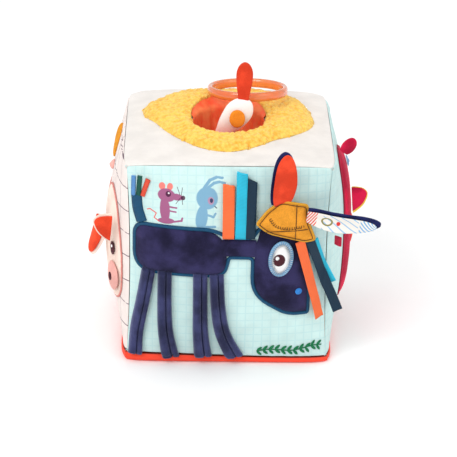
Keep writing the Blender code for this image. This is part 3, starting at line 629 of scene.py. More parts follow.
def sewPanel(wall, node, finish, slot, outward):
    cells = panels["cells"]
    t = np.sin(np.linspace(-1, 1, cells + 1) * math.pi / 2)
    u, v = (grid.ravel() for grid in np.meshgrid(t, t))
    if wall in ("top", "under"):
        a, b = u * cube["half"], v * cube["half"]
    else:
        b = midUp + v * halfUp
        a = u * seamReach(b)
    points = onWall(wall, a, b)
    faces = gridFaces(cells + 1, cells + 1)
    if wall == "top":
        away = np.hypot(a - pocket["x"], b - pocket["y"])
        faces = [face for face in faces if away[list(face)].min() > pocket["rim"] - 1]
    piece = makeMesh(node.replace("_p", "P"), points, faces, finish, outward=outward)
    return sew(thicken(piece, 0.9), "cube", slot, node)


pocket = {"x": 0.0, "y": -4.0, "rim": 28.0, "floor": 22.0, "floorUp": 84.5}


def blankCloth(name, walls):
    made, _, _, yarn, ground = skyCloth(name, walls)
    made.paint(ground)
    made.emboss(yarn, 0.1)
    return made


def drawn(made, x, y, shapes, ground):
    # printed figures: each shape is ("oval", x, y, radiusX, radiusY, turn) or ("line", x, y, x, y, width)
    for code, parts in shapes:
        inked = None
        for part in parts:
            mask = made.ovalMask(x, y, *part[1:]) if part[0] == "oval" else made.lineMask(x, y, *part[1:])
            inked = mask if inked is None else inked.top(mask)
        ground = made.mix(ground, dye(code), inked * 0.92)
    return ground


def printedCloth(name):
    made, across, up, yarn, ground = skyCloth(name, (0, 2))
    wobble = (made.cloud(2.5, 2) - 0.5) * 0.5
    x, y = across + wobble, up + wobble
    mouse = [
        ("F0756C", [("oval", -49.8, 146.2, 2.4, 2.8, 0.2), ("oval", -44.0, 146.0, 2.2, 2.8, -0.2)]),
        ("A0447A", [("oval", -46.4, 139.4, 6.6, 5.0, -0.16), ("oval", -38.9, 138.4, 4.8, 2.5, -0.1),
                    ("oval", -47.6, 128.4, 3.7, 10.2, 0.05), ("oval", -46.6, 119.8, 6.2, 2.4, 0.0),
                    ("line", -46, 131, -39, 130.2, 1.3), ("line", -46, 128, -39.5, 127, 1.3),
                    ("line", -42, 119.2, -35, 120.6, 1.5), ("line", -35.2, 120.4, -34.6, 122.6, 1.4)]),
        ("E2625E", [("line", -52, 119, -55.5, 121.4, 0.9), ("line", -55.5, 121.4, -54, 125, 0.9),
                    ("line", -54, 125, -58.5, 128, 0.9), ("line", -58.5, 128, -60.5, 127.4, 0.9)]),
        ("4A1F3E", [("oval", -34.2, 138.0, 1.7, 1.7, 0.0), ("oval", -45.2, 140.4, 2.0, 2.2, 0.0),
                    ("line", -36.4, 140, -38.6, 146, 0.45), ("line", -35.4, 140, -34.8, 145.6, 0.45),
                    ("line", -36.2, 138, -39.4, 133.4, 0.45), ("line", -35.0, 138, -34.4, 133.2, 0.45)]),
        ("F6EDF2", [("oval", -44.8, 141.1, 0.7, 0.7, 0.0)]),
    ]
    hare = [
        ("74A5C4", [("line", -18.5, 146, -14.5, 151.6, 2.4), ("line", -14.5, 151.6, -9.5, 153.6, 2.2),
                    ("line", -9.5, 153.6, -5.2, 153.4, 1.8), ("line", -16, 146, -11.5, 149.4, 2.2),
                    ("line", -11.5, 149.4, -7, 150.4, 2.0), ("line", -7, 150.4, -3.4, 149.6, 1.7),
                    ("oval", -16.4, 138.4, 8.0, 8.3, 0.1), ("oval", -20.2, 123.6, 4.4, 9.8, -0.12),
                    ("line", -19, 127, -11.5, 124.4, 1.7), ("line", -11.5, 124.4, -10, 127.2, 1.6),
                    ("line", -22, 116.4, -10.4, 117, 2.0)]),
        ("B88BA8", [("oval", -13.6, 136.6, 2.3, 2.9, 0.1)]),
        ("1E3A5C", [("oval", -13.2, 136.8, 1.2, 1.7, 0.1), ("line", -10.6, 132.6, -9.2, 131.4, 0.7)]),
    ]
    made.paint(drawn(made, x, y, mouse + hare, ground))
    made.emboss(yarn, 0.1)
    return made


sewPanel("front", "front_panel", printedCloth("skyCottonFront"), "sky_cloth", (0, -1, 0))
sewPanel("back", "back_panel", blankCloth("skyCottonBack", (0, 2)), "sky_cloth", (0, 1, 0))
sewPanel("right", "right_panel", blankCloth("skyCottonSide", (1, 2)), "sky_cloth", (1, 0, 0))
sewPanel("left", "left_panel", linedCloth("linedCotton", (1, 2)), "cream_cloth", (-1, 0, 0))
sewPanel("top", "top_panel", plainCloth("ivoryCotton", panels["ivory"], (0, 1)), "white_cloth", (0, 0, 1))
sewPanel("under", "bottom_panel", plainCloth("coralCotton", panels["coral"], (0, 1)), "coral_cloth",
         (0, 0, -1))
print("cloth walls sewn")


# the donkey: one plush shape in three stuffed parts, edged with packed stitches
donkey = {
    "plush": "2A2748", "plushTip": "7C7CA6", "edge": "0B4C70", "rise": 5.0, "edgeWide": 2.9, "edgeRise": 1.5,
    "leg": "33365A", "legTip": "9A9FC0",
}
donkeyPlush = velour("navyVelour", donkey["plush"], donkey["plushTip"], shade=0.42, lift=1.6, sheen=0.5)
legPlush = velour("legVelour", donkey["leg"], donkey["legTip"], shade=0.5, lift=1.4, pile=0.75, sheen=0.7)
edgeThread = stitched("tealThread", donkey["edge"])

bodyOutline = rounded([(-70.6, 79, 14), (-10, 79, 8), (-3.4, 81.6, 4), (-1.4, 88, 5), (-1.2, 104, 9),
                       (-12, 114, 9), (-70.6, 114.9, 9)])
neckOutline = rounded([(-5, 94.4, 1), (21, 93.6, 1), (21, 107.2, 1), (-5, 107.6, 1)])
headOutline = rounded([(24, 117, 4), (47, 117, 14), (59, 98, 16), (60.6, 72, 10), (60.6, 46.8, 1.2),
                       (45, 46.6, 16), (20, 62, 26), (19, 96, 16)])
sew(stuffedOnWall("donkeyBody", "front", bodyOutline, donkeyPlush, donkey["rise"] + 0.8),
    "cube", "navy_velour", "donkey_body_pad")
sew(stuffedOnWall("donkeyNeck", "front", neckOutline, donkeyPlush, 3.4, soft=2.6),
    "cube", "navy_velour", "donkey_neck_pad")
sew(stuffedOnWall("donkeyHead", "front", headOutline, donkeyPlush, donkey["rise"] + 0.4),
    "cube", "navy_velour", "donkey_head_pad")
silhouette = rounded([
    (-71.6, 78, 15), (-9, 78, 8), (-2.8, 80.8, 4), (-0.8, 87, 4), (0.4, 93.2, 2), (18.4, 93, 4), (18, 62, 27),
    (45, 45.4, 18), (61.4, 45.4, 1.2), (61.6, 72, 10), (59.6, 98, 16), (52, 118, 8), (24, 118, 5),
    (18, 108.8, 3), (1, 108.8, 5), (-12, 114.8, 10), (-71.6, 115.8, 10),
])
sew(bandOnWall("donkeyEdge", "front", silhouette, edgeThread, donkey["edgeWide"], donkey["edgeRise"], 0.5),
    "cube", "teal_cloth")
print("donkey pads stuffed")


def bandAlong(name, wall, path, width, profile, level, finish, endEase=3.0, startEase=1.0, flare=0.0):
    # a stuffed or flat strip that lies on a wall: profile gives (across, out) once round the section
    line, at = evenly(smoothLine(path), 1.2, False)
    turn = headings(line, False)
    normal = np.stack([turn[:, 1], -turn[:, 0]], -1)
    left, right = at / startEase, (at[-1] - at) / endEase
    ease = np.sqrt(1 - (1 - np.clip(left, 0.06, 1)) ** 2) * np.sqrt(1 - (1 - np.clip(right, 0.05, 1)) ** 2)
    wide = width / 2 * (0.88 + 0.12 * ease) * (1 + flare * (at / at[-1]) ** 3)
    across = profile[:, 0][None, :] * wide[:, None]
    out = profile[:, 1][None, :] * ease[:, None] + level
    flat = line[:, None, :] + normal[:, None, :] * across[..., None]
    points = onWall(wall, flat[..., 0].ravel(), flat[..., 1].ravel(), out.ravel())
    points += lumps(points, 9.0, 0.25)[:, None] * outwardOf[wall]
    columns = len(profile)
    faces = gridFaces(len(line), columns, loop=True)
    faces.append(tuple(range(columns)))
    faces.append(tuple(range((len(line) - 1) * columns, len(line) * columns)))
    marks = {"along": np.repeat(at, columns), "across": np.tile(profile[:, 0], len(line))}
    return makeMesh(name, points, faces, finish, marks)


outwardOf = {
    "front": np.array((0, -1.0, 0)), "back": np.array((0, 1.0, 0)), "left": np.array((-1.0, 0, 0)),
    "right": np.array((1.0, 0, 0)), "top": np.array((0, 0, 1.0)), "under": np.array((0, 0, -1.0)),
}


def twinProfile(seam, lowSide, highSide):  # two soft tubes side by side with the seam between
    u = np.concatenate([np.linspace(-1, seam, 9), np.linspace(seam, 1, 11)[1:]])
    middles = ((-1 + seam) / 2, (1 + seam) / 2)
    halves = ((1 + seam) / 2, (1 - seam) / 2)
    out = []
    for x in u:
        k = 0 if x < seam else 1
        side = (x - middles[k]) / halves[k]
        out.append((lowSide, highSide)[k] * max(0.0, 1 - abs(side) ** 2.6) ** 0.5 + 1.5)
    under = np.linspace(1, -1, 8)[1:-1]
    return np.concatenate([np.stack([u, out], -1), np.stack([under, np.full(6, 0.1)], -1)])


legs = {
    "wide": 10.9, "seam": -0.2, "lowSide": 3.4, "highSide": 5.0,
    "hind_leg_outer": [(-60, 80), (-65, 52), (-70.2, 28), (-72, 6.6)],
    "hind_leg_inner": [(-47.5, 80), (-47.6, 52), (-46.6, 30), (-42.2, 4.6)],
    "fore_leg_inner": [(-20.8, 80), (-20.6, 52), (-20, 30), (-17.6, 6.4)],
    "fore_leg_outer": [(-8.6, 80), (-7, 52), (-3.2, 31), (7.0, 8.2)],
}
legSection = twinProfile(legs["seam"], legs["lowSide"], legs["highSide"])
for leg in ("hind_leg_outer", "hind_leg_inner", "fore_leg_inner", "fore_leg_outer"):
    stuffed = bandAlong(leg + "Plush", "front", legs[leg], legs["wide"], legSection, 0.4, legPlush, flare=0.3)
    sew(stuffed, leg, "navy_velour", leg)
    print(leg, "stuffed")


# the ribbons of the mane and of the forelock
orangeRibbon = grosgrain("orangeGrosgrain", "FF6B36")
cyanRibbon = grosgrain("cyanGrosgrain", "22B4D2")
navyRibbon = grosgrain("navyGrosgrain", "052A40")
ribbons = {
    "wide": 7.4, "thick": 0.55,
    "orange": {"root": (-0.4, 109), "tip": (-0.4, 147.5), "finish": orangeRibbon, "bow": 0.9, "wide": 8.6,
               "level": 0.0, "slant": -0.6},
    "cyan": {"root": (8.6, 109), "tip": (9.4, 156.5), "finish": cyanRibbon, "bow": 0.5, "wide": 7.8,
             "level": 0.9, "slant": -0.9},
    "navy": {"root": (15.4, 109), "tip": (16.3, 151), "finish": navyRibbon, "bow": 0.6, "wide": 8.4,
             "level": 0.0, "slant": -1.6},
}


def foldedRibbon(name, facts):  # up, over and back down again in front
    bow, level = facts["bow"], facts["level"]
    root, tip = np.array(facts["root"], float), np.array(facts["tip"], float)
    length = np.linalg.norm(tip - root)
    climb = np.linspace(0, 1, 22)
    rows = [(t * length, 0.9 + bow * math.sin(math.pi * t) * 0.5) for t in climb]
    turn = np.linspace(-math.pi / 2, math.pi / 2, 9)[1:-1]
    rows += [(length + 1.0 * math.cos(a), 1.9 + 1.0 * math.sin(a)) for a in turn]
    rows += [(t * length, 2.9 + bow * math.sin(math.pi * t) * 0.7) for t in climb[::-1]]
    rows = np.array(rows)
    ahead = (tip - root) / length
    beside = np.array((ahead[1], -ahead[0]))
    v = np.linspace(-1, 1, 7)
    a = root[0] + ahead[0] * rows[:, :1] + beside[0] * v * facts["wide"] / 2
    b = root[1] + ahead[1] * rows[:, :1] + beside[1] * v * facts["wide"] / 2
    b = b + facts["slant"] * v * rows[:, :1] / length
    out = rows[:, 1:] + level * rows[:, :1] / length + 0.12 * np.sin(v * 2 + rows[:, :1] / 7)
    points = onWall("front", a.ravel(), b.ravel(), out.ravel())
    marks = {"along": np.repeat(rows[:, 0], 7), "across": np.tile(v, len(rows))}
    piece = makeMesh(name, points, gridFaces(len(rows), 7), facts["finish"], marks, outward=(0, -1, 0))
    return thicken(piece, ribbons["thick"])


for colour in ("orange", "cyan", "navy"):
    made = foldedRibbon(colour + "ManeRibbon", ribbons[colour])
    sew(made, "mane_" + colour, colour + "_ribbon", "mane_ribbon_" + colour)

forelocks = {
    "orange": {"path": [(53.5, 107), (62, 78), (73, 42)], "level": 8.1, "finish": orangeRibbon},
    "navy": {"path": [(62, 106), (74.6, 76), (87.4, 46)], "level": 7.7, "finish": navyRibbon},
    "cyan": {"path": [(65, 106), (73, 86), (82, 68)], "level": 6.9, "finish": cyanRibbon},
}


def hangingRibbon(name, path, level, finish):
    line, at = evenly(smoothLine(path), 1.5, False)
    turn = headings(line, False)
    beside = np.stack([turn[:, 1], -turn[:, 0]], -1)
    v = np.linspace(-1, 1, 7)
    half = ribbons["wide"] / 2
    a = line[:, :1] + beside[:, :1] * v * half
    b = line[:, 1:] + beside[:, 1:] * v * half
    share = at[:, None] / at[-1]
    out = level + 0.9 * np.sin(share * 4.2) * share + 0.5 * v * v + 0.25 * np.sin(at[:, None] / 5)
    flatWall = onWall("front", a, b, out, ruffled=False)
    marks = {"along": np.repeat(at, 7), "across": np.tile(v, len(line))}
    piece = makeMesh(name, flatWall.reshape(-1, 3), gridFaces(len(line), 7), finish, marks,
                     outward=(0, -1, 0))
    return thicken(piece, ribbons["thick"])


for colour in ("orange", "navy", "cyan"):
    facts = forelocks[colour]
    made = hangingRibbon(colour + "ForelockRibbon", facts["path"], facts["level"], facts["finish"])
    sew(made, "forelock_" + colour, colour + "_ribbon", "forelock_ribbon_" + colour)
print("ribbons sewn on")


# the donkey's eye and nostril
eyeThread = stitched("skyBlueThread", "86BCEB", pitch=0.8)
whiteThread = stitched("whiteThread", "FFFDFD", pitch=0.7, lift=1.3, shade=1.0)
maroonThread = stitched("maroonThread", "4A1220")
face = {"eye": (39.2, 93.5), "eyeSize": (7.9, 12.7), "tilt": -0.08, "pupil": (37.8, 92.7), "pupilSize": 4.6}


def stitchedPatch(name, wall, outline, finish, level, rise, soft=0.8):
    patch = padOnWall(name, wall, outline, finish, rise, level, soft, 0.3, 0.0)
    spots = np.array([v.co for v in patch.data.vertices]) / mm
    marks = patch.data.attributes.new("along", "FLOAT", "POINT")
    marks.data.foreach_set("value", (spots @ np.array((0.9, 0.9, 0.42))).astype(np.float32))
    return patch


eyeOutline = oval(*face["eye"], *face["eyeSize"], face["tilt"], 90)
rim, _ = evenly(eyeOutline, 0.8, True)
zigzag = headings(rim, True)
reachOut = np.where(np.arange(len(rim)) % 2, 1.2, -2.6)
zigzag = np.stack([zigzag[:, 1], -zigzag[:, 0]], -1) * reachOut[:, None]
eyeWhite = stitchedPatch("eyeWhite", "front", eyeOutline, whiteThread, 5.6, 0.9)
sew(eyeWhite, "cube", "blue_embroidery", "donkey_eye_patch")
sew(bandOnWall("eyeRim", "front", eyeOutline, eyeThread, 3.2, 0.8, 6.2), "cube", "blue_embroidery")
zigzagPath = onWall("front", *(rim + zigzag).T, 7.1)
paleThread = stitched("paleBlueThread", "E8F3FC", pitch=0.7)
sew(threads("eyeZigzag", [np.vstack([zigzagPath, zigzagPath[:1]])], paleThread, 0.36, 5),
    "cube", "blue_embroidery")
pupilOutline = oval(*face["pupil"], face["pupilSize"], face["pupilSize"] + 0.3)
pupil = stitchedPatch("eyePupil", "front", pupilOutline, maroonThread, 6.4, 0.9)
sew(pupil, "cube", "maroon_embroidery", "donkey_pupil_patch")
glint = stitchedPatch("eyeGlint", "front", oval(36.4, 94.6, 1.5, 1.6), whiteThread, 7.2, 0.5)
sew(glint, "cube", "white_velour")
blueDot = stitched("brightBlueThread", "2F86DC")
nostril = stitchedPatch("donkeyNostril", "front", oval(53.5, 65.3, 2.7, 2.6), blueDot, 5.7, 0.8)
sew(nostril, "cube", "blue_embroidery", "donkey_nostril_patch")
print("eye embroidered")


# a green sprig stitched low on the front
greenSprig = stitched("leafGreenThread", "0F7A4A")
sprig = {"from": (23, 15.2), "to": (74.5, 19), "pairs": 11, "leaf": (5.2, 2.1), "sway": 1.1}
reachAlong = np.linspace(0, 1, 40)
stemLine = np.stack([sprig["from"][0] + (sprig["to"][0] - sprig["from"][0]) * reachAlong,
                     sprig["from"][1] + (sprig["to"][1] - sprig["from"][1]) * reachAlong
                     + sprig["sway"] * np.sin(reachAlong * 9)], -1)
sew(bandOnWall("sprigStem", "front", stemLine, greenSprig, 0.9, 0.5, 0.4, False, 0.5), "cube", "teal_cloth")
leafAt, _ = evenly(stemLine, 50.0 / sprig["pairs"], False)
for i, spot in enumerate(leafAt[:-1]):
    for way in (1, -1):
        turn = 0.75 * way + 0.15 * math.sin(3 * i)
        long, wide = sprig["leaf"]
        centre = spot + np.array((math.cos(turn), math.sin(turn))) * (long / 2 + 0.2)
        leafName = "sprigLeaf%d%s" % (i, "Up" if way > 0 else "Down")
        leafOutline = oval(centre[0], centre[1], long / 2, wide / 2, turn, 24)
        leaf = stitchedPatch(leafName, "front", leafOutline, greenSprig, 0.35, 0.5, 0.4)
        sew(leaf, "cube", "teal_cloth")
print("sprig stitched")


# the felt cap between the ears, with its running stitches
mustardFelt = felt("mustardFelt", "DE9430")
brownThread = stitched("brownThread", "5A3A20", pitch=0.5)
capOutline = rounded([(20.5, 122.6, 1.5), (28, 132, 3), (38, 139.4, 3), (58.6, 135, 2.5), (59.6, 121.6, 3),
                      (66, 106.6, 1.6), (58, 106.4, 3), (46, 110.6, 8), (29, 115.6, 5)])
cap = padOnWall("feltCap", "front", capOutline, mustardFelt, 2.9, 7.2, 3.0, 0.9, 0.15, centre=(43, 121))
sew(cap, "cube", "mustard_felt", "bridle_patch")
goldThread = stitched("goldThread", "F0A62C", pitch=0.8)
sew(bandOnWall("capEdge", "front", capOutline, goldThread, 2.0, 0.8, 8.0, step=0.6), "cube", "mustard_felt")
capMiddle = np.array((43, 121))
capInset = capMiddle + (capOutline - capMiddle) * 0.925
sew(bandOnWall("capRim", "front", capInset, brownThread, 0.55, 0.35, 9.2, step=0.6),
    "cube", "maroon_embroidery")
for label, path in (("Upright", [(49.4, 108.8), (49.8, 122), (50, 137)]),
                    ("Level", [(27, 117.2), (40, 117), (59.6, 116.6)])):
    line = bandOnWall("cap" + label + "Line", "front", smoothLine(path), brownThread, 0.6, 0.4, 10.2, False)
    sew(line, "cube", "maroon_embroidery")
curve = smoothLine([(29.5, 126.5), (34, 121), (43, 118.2), (56, 118.4)], 8)
marksAt, _ = evenly(curve, 1.9, False)
beside = headings(marksAt, False)
beside = np.stack([-beside[:, 1], beside[:, 0]], -1)
ticks = []
for spot, way in zip(marksAt, beside):
    spots = spot + np.outer(np.linspace(0, 2.0, 4), way)
    ticks.append(onWall("front", spots[:, 0], spots[:, 1], 10.3 + np.array([0, 0.3, 0.3, 0])))
ticks += runStitches("front", curve, 10.3, 1.7, 0.5, 0.25)
sew(threads("capStitches", ticks, brownThread, 0.26, 5), "cube", "maroon_embroidery")
print("cap stitched")


# loose flaps: ears, comb and cheek are leaves or wedges that start at a sewn edge
def flapPiece(name, base, along, facing, size, finish, low, high, cup=0.0, kind="leaf", share=1.0, hook=0.0,
              bend=0.0, grow=0.0, shift=0.0):
    length, width = size
    ahead = np.array(along, float) / np.linalg.norm(along)
    front = np.array(facing, float)
    front = front - ahead * front.dot(ahead)
    front /= np.linalg.norm(front)
    side = np.cross(ahead, front)
    lift = 1.0 if side[2] > 0 else -1.0
    t = 1 - np.linspace(1, 0, 34) ** 1.25
    angle = np.linspace(0, 2 * math.pi, 28, endpoint=False)
    rows = []
    for s in t:
        if kind == "wedge":
            rounding = math.sqrt(max(0.02, 1 - (max(0, s - 0.6) / 0.405) ** 2.4))
            half = width / 2 * (1 - 0.62 * s ** 1.5) * rounding
            middleAcross = lift * (width / 2 * 0.62 * s ** 1.5) * 0.72
        elif kind == "club":
            reach = 0.66 + 0.34 * math.sin(min(1.0, s / 0.66) * math.pi / 2) ** 1.6
            half = width / 2 * reach * math.sqrt(max(0.01, 1 - (max(0, s - 0.66) / 0.345) ** 2.1))
            middleAcross = 0.0
        else:
            stretched = 0.12 + 0.875 * s
            half = width * math.sqrt(stretched * (1 - stretched))
            middleAcross = shift
        half = max((half + grow) * share, 0.25)
        thin = min(1.0, half / (0.2 * width)) ** 0.5
        across = np.cos(angle) * half
        swell = np.sign(np.sin(angle)) * np.abs(np.sin(angle)) ** 0.75
        forward = (low + high) / 2 + swell * (high - low) / 2 * thin
        forward += cup * (across / width * 2) ** 2 * math.sin(math.pi * min(s + 0.1, 1.0)) + bend * s * s
        spot = np.array(base, float) + ahead * length * s * (share + (1 - share) * 0.5)
        rows.append(spot + side * (across + middleAcross + hook * s ** 3)[:, None] + front * forward[:, None])
    points = np.array(rows)
    points += lumps(points.reshape(-1, 3), 7.0, 0.3).reshape(34, 28, 1) * front
    faces = gridFaces(34, 28, loop=True) + [tuple(range(28)), tuple(range(33 * 28, 34 * 28))]
    marks = {"along": np.repeat(t * length, 28), "across": np.tile(np.cos(angle), 34)}
    return makeMesh(name, points.reshape(-1, 3), faces, finish, marks)


def printedCotton():  # the side ear's patterned lining
    made = Finish("printedCotton", roughness=0.9, sheen=0.1, specular=0.2)
    along, across = made.mark("along"), made.mark("across")
    hatch = (along + across * 3.0).wave(2.1).ease(-0.1, 0.3) * (1 - along.ease(7.5, 8.2))
    pale = (along * 0.6 - across * 7.0).wave(5.5).ease(0.75, 0.9)
    pale = pale * along.ease(12, 13) * (1 - along.ease(40, 41))
    tipHatch = (along - across * 5.0).wave(3.2).ease(0.1, 0.4) * along.ease(41, 42)
    loop = ((along - 16) * (along - 16) / 20 + across * across * 4)
    olive = loop.ease(0.45, 0.6) * (1 - loop.ease(1.0, 1.15))
    dot = 1 - ((along - 25) * (along - 25) / 2.5 + across * across * 14).ease(0.8, 1.2)
    ground = made.mix(dye("F3EEE6", 0.93), dye("F6F2EC"), made.cloud(12, 2))
    paint = made.mix(ground, dye("E4483A"), hatch)
    paint = made.mix(paint, dye("9CC4E4"), pale)
    paint = made.mix(paint, dye("7FB4E0"), tipHatch)
    paint = made.mix(paint, dye("8A8440"), olive)
    made.paint(made.mix(paint, dye("D8342E"), dot))
    axes = made.axes()
    made.emboss(weave(made, axes[0], axes[2]), 0.1)
    return made


coralPlush = velour("coralVelour", "F4482B", "FFA080", shade=0.7, lift=1.35)
navyBack = velour("navyVelourBack", "1E2350", "5560A0", shade=0.7, lift=1.4)
earPrint = printedCotton()
ears = {
    "upright": ((36.5, -89.6, 136.2), (0.09, -0.14, 1), (0.35, -1, 0), (43.6, 19.6)),
    "side": ((58.2, -91, 130), (1, -0.12, -0.17), (0, -1, -0.45), (54.5, 18.5)),
}
made = flapPiece("uprightEarBack", *ears["upright"], navyBack, -0.3, 2.5, 3, hook=-0.5)
sew(made, "upright_ear", "navy_velour", "upright_ear_back", "upright_ear_film")
made = flapPiece("uprightEarFront", *ears["upright"], coralPlush, 2.0, 4.8, 3, share=0.93, hook=-0.5,
                 shift=0.9)
sew(made, "upright_ear", "coral_velour", "upright_ear_front")
made = flapPiece("sideEarBack", *ears["side"], navyBack, -0.6, 2.4, 3.5, hook=-3.5)
sew(made, "side_ear", "navy_velour", "side_ear_back", "side_ear_film")
made = flapPiece("sideEarFront", *ears["side"], earPrint, 2.0, 4.2, 3.5, share=0.9, hook=-3.0, shift=1.4)
sew(made, "side_ear", "print_cotton", "side_ear_front")
print("ears sewn")


# the tail of embroidered strips
tailBlueThread = stitched("stripBlueThread", "5C93CF")
greenThread = stitched("deepGreenThread", "0F5548")
coralThread = stitched("coralThread", "F0523A")
tailParts = [
    ("tailRoot", [(-65.6, 117), (-68.8, 127), (-70, 137.5)], 8.8, 1.3, edgeThread, "teal_cloth",
     "tail_patch"),
    ("tailBlue", [(-72.6, 137), (-72.5, 145), (-72.4, 153.5)], 4.0, 1.2, tailBlueThread, "blue_embroidery",
     "tail_tip_blue"),
    ("tailGreen", [(-68.3, 137), (-67.7, 145), (-67.0, 153.5)], 4.0, 1.2, greenThread, "teal_cloth",
     "tail_tip_green"),
    ("tailCoral", [(-65.0, 137.5), (-62.6, 144.5), (-60.4, 151)], 4.0, 1.6, coralThread, "coral_velour",
     "tail_tip_coral"),
]
for name, path, wide, rise, finish, slotName, node in tailParts:
    sew(bandOnWall(name, "front", smoothLine(path), finish, wide, rise, 0.5, closed=False),
        "cube", slotName, node)
print("tail embroidered")


# the pig on the left wall
pig = {"rise": 3.6, "skin": "FBE0D2", "snout": "F2B2A8"}
peachPlush = velour("peachVelour", pig["skin"], "FFF0E8", shade=0.82, lift=1.1)
pinkPlush = velour("pinkVelour", pig["snout"], "FFE0DA", shade=0.82, lift=1.15)
pigHead = rounded([(-66, 46, 18), (-38, 40, 18), (-12, 56, 18), (-8, 106, 18), (-28, 130, 18), (-56, 126, 18),
                   (-67, 86, 18)])
pigBody = rounded([(-4, 46, 18), (24, 36, 18), (54, 42, 18), (64, 80, 18), (44, 112, 18), (4, 108, 18)])
peachThread = stitched("peachThread", "E58F86")
for name, outline, node in (("pigHead", pigHead, "pig_head_pad"), ("pigBody", pigBody, "pig_body_pad")):
    made = stuffedOnWall(name, "left", outline, peachPlush, pig["rise"])
    sew(made, "cube", "peach_velour", node)
    sew(bandOnWall(name + "Edge", "left", outline, peachThread, 1.8, 0.9, 0.5), "cube", "pink_velour")
made = padOnWall("pigSnout", "left", oval(-57, 62, 9.5, 11.5), pinkPlush, 3.0, 4.0, 2.4)
sew(made, "cube", "pink_velour", "pig_snout_pad")
made = stitchedPatch("pigNostril", "left", oval(-59, 62, 2.2, 3.4), maroonThread, 7.2, 0.8)
sew(made, "cube", "maroon_embroidery", "pig_nostril_patch")
made = stitchedPatch("pigEye", "left", oval(-56.5, 84.5, 3.4, 5.4), maroonThread, 4.0, 0.9)
sew(made, "cube", "maroon_embroidery", "pig_eye_patch")
made = stitchedPatch("pigEyeGlint", "left", oval(-57.6, 86.5, 1.1, 1.4), whiteThread, 4.8, 0.5)
sew(made, "cube", "white_velour")
pigNear = ((-88.5, -63, 104), (-1, -0.12, 0.1), (0.1, -1, 0), (14, 22))
pigFar = ((-96.5, -31, 100), (-0.26, -0.1, -1), (-1, -0.5, 0), (31, 18))
for name, place, kind, cup in (("pig_near_ear", pigNear, "wedge", -1.5),
                               ("pig_far_ear", pigFar, "leaf", -2.0)):
    label = name.title().replace("_", "")
    made = flapPiece(label + "Back", *place, peachPlush, -0.3, 1.4, cup, kind, grow=0.5)
    sew(made, name, "pink_velour", name + "_back")
    made = flapPiece(label + "Front", *place, coralPlush, 1.1, 3.2, cup, kind, share=0.9)
    sew(made, name, "coral_velour", name + "_front")
made = padOnWall("mustardPatch", "left", oval(14, 145, 12, 13, 0.2, 80), mustardFelt, 2.2, 0.3, 2.0)
sew(made, "cube", "mustard_felt")
made = padOnWall("pinkNub", "left", oval(-8, 134, 3.2, 4.0), pinkPlush, 3.4, 0.3, 1.6)
sew(made, "cube", "pink_velour")
print("pig sewn")


# the hen on the right wall
hen = {"rise": 5.2, "plush": "CF1C44"}
crimsonPlush = velour("crimsonVelour", hen["plush"], "FF8CA0", shade=0.62, lift=1.3)
crimsonThread = stitched("crimsonThread", "B8123A", pitch=0.9)
henOutline = rounded([(y, z, 16) for y, z in ((-35, 92), (-38, 50), (-30, 34), (34, 33), (62, 66), (60, 112),
                                              (20, 104), (-2, 152), (-38, 153), (-35, 116))])
made = stuffedOnWall("henBody", "right", henOutline, crimsonPlush, hen["rise"], centre=(0, 85))
sew(made, "cube", "crimson_velour", "hen_body_pad")
sew(bandOnWall("henEdge", "right", henOutline, crimsonThread, 2.6, 1.1, 0.5), "cube", "crimson_velour")
made = padOnWall("henWing", "right", oval(22, 72, 24, 15, -0.3, 90), coralPlush, 3.0, 5.5, 2.4)
sew(made, "cube", "coral_velour", "hen_wing_pad")
sew(bandOnWall("henWingEdge", "right", oval(22, 72, 24, 15, -0.3, 90), crimsonThread, 1.8, 0.8, 5.7), "cube",
    "crimson_velour")
made = stitchedPatch("henEye", "right", oval(-13, 141, 3.4, 4.2), eyeThread, 5.5, 0.9)
sew(made, "cube", "blue_embroidery", "hen_eye_patch")
made = stitchedPatch("henPupil", "right", oval(-13, 141, 1.5, 2.0), maroonThread, 6.2, 0.6)
sew(made, "cube", "maroon_embroidery")
yellowLining = felt("yellowLining", "FFC94A")
made = flapPiece("henComb", (87.5, -30, 154.5), (0.6, 0, 0.8), (0.3, -1, 0), (13.5, 11), crimsonPlush,
                 -1.8, 1.8)
sew(made, "hen_comb", "crimson_velour", "hen_comb")
henCheek = ((95.4, -31, 117), (1, -0.1, 0.08), (-0.1, -1, 0), (12, 21))
made = flapPiece("henCheekBack", (95.6, -31, 116), *henCheek[1:], yellowLining, -0.1, 1.2, -1.5, "wedge",
                 grow=0.4)
sew(made, "hen_cheek", "yellow_cotton", "hen_cheek_back")
made = flapPiece("henCheekFront", *henCheek, crimsonPlush, 1.2, 2.9, -1.5, "wedge", share=0.93)
sew(made, "hen_cheek", "crimson_velour", "hen_cheek_front")

tagAt = np.array((79.5, -79.5, 103))
tagPath = smoothLine([(0, 0), (5, -0.7), (6.7, 0), (5, 0.7), (0, 0.6)], 8)
crimsonRibbon = grosgrain("crimsonGrosgrain", "C2183C")
v = np.linspace(-1, 1, 7)
tagPoints = [tagAt + (p[0] * 0.75 + p[1], -p[0] * 0.66 + p[1], 3.5 * side) for p in tagPath for side in v]
tagMarks = {"along": np.repeat(np.arange(len(tagPath)) * 0.5, 7), "across": np.tile(v, len(tagPath))}
tag = thicken(makeMesh("seamTag", tagPoints, gridFaces(len(tagPath), 7), crimsonRibbon, tagMarks), 0.4)
sew(tag, "cube", "crimson_velour", "seam_tag")
print("hen sewn")


# the fleece nest and the pocket it rings
nest = {
    "fleece": "FFD968", "hollow": "EFA022", "tip": "FFF0C0", "thick": 5.6, "nub": 1.9, "nubSize": 2.9,
    "backReach": 8.0, "backRise": 5.5,
    "radii": [65, 69, 74, 71, 67, 72, 72, 72, 56, 50.5, 50, 54, 56, 51, 48, 55],
}


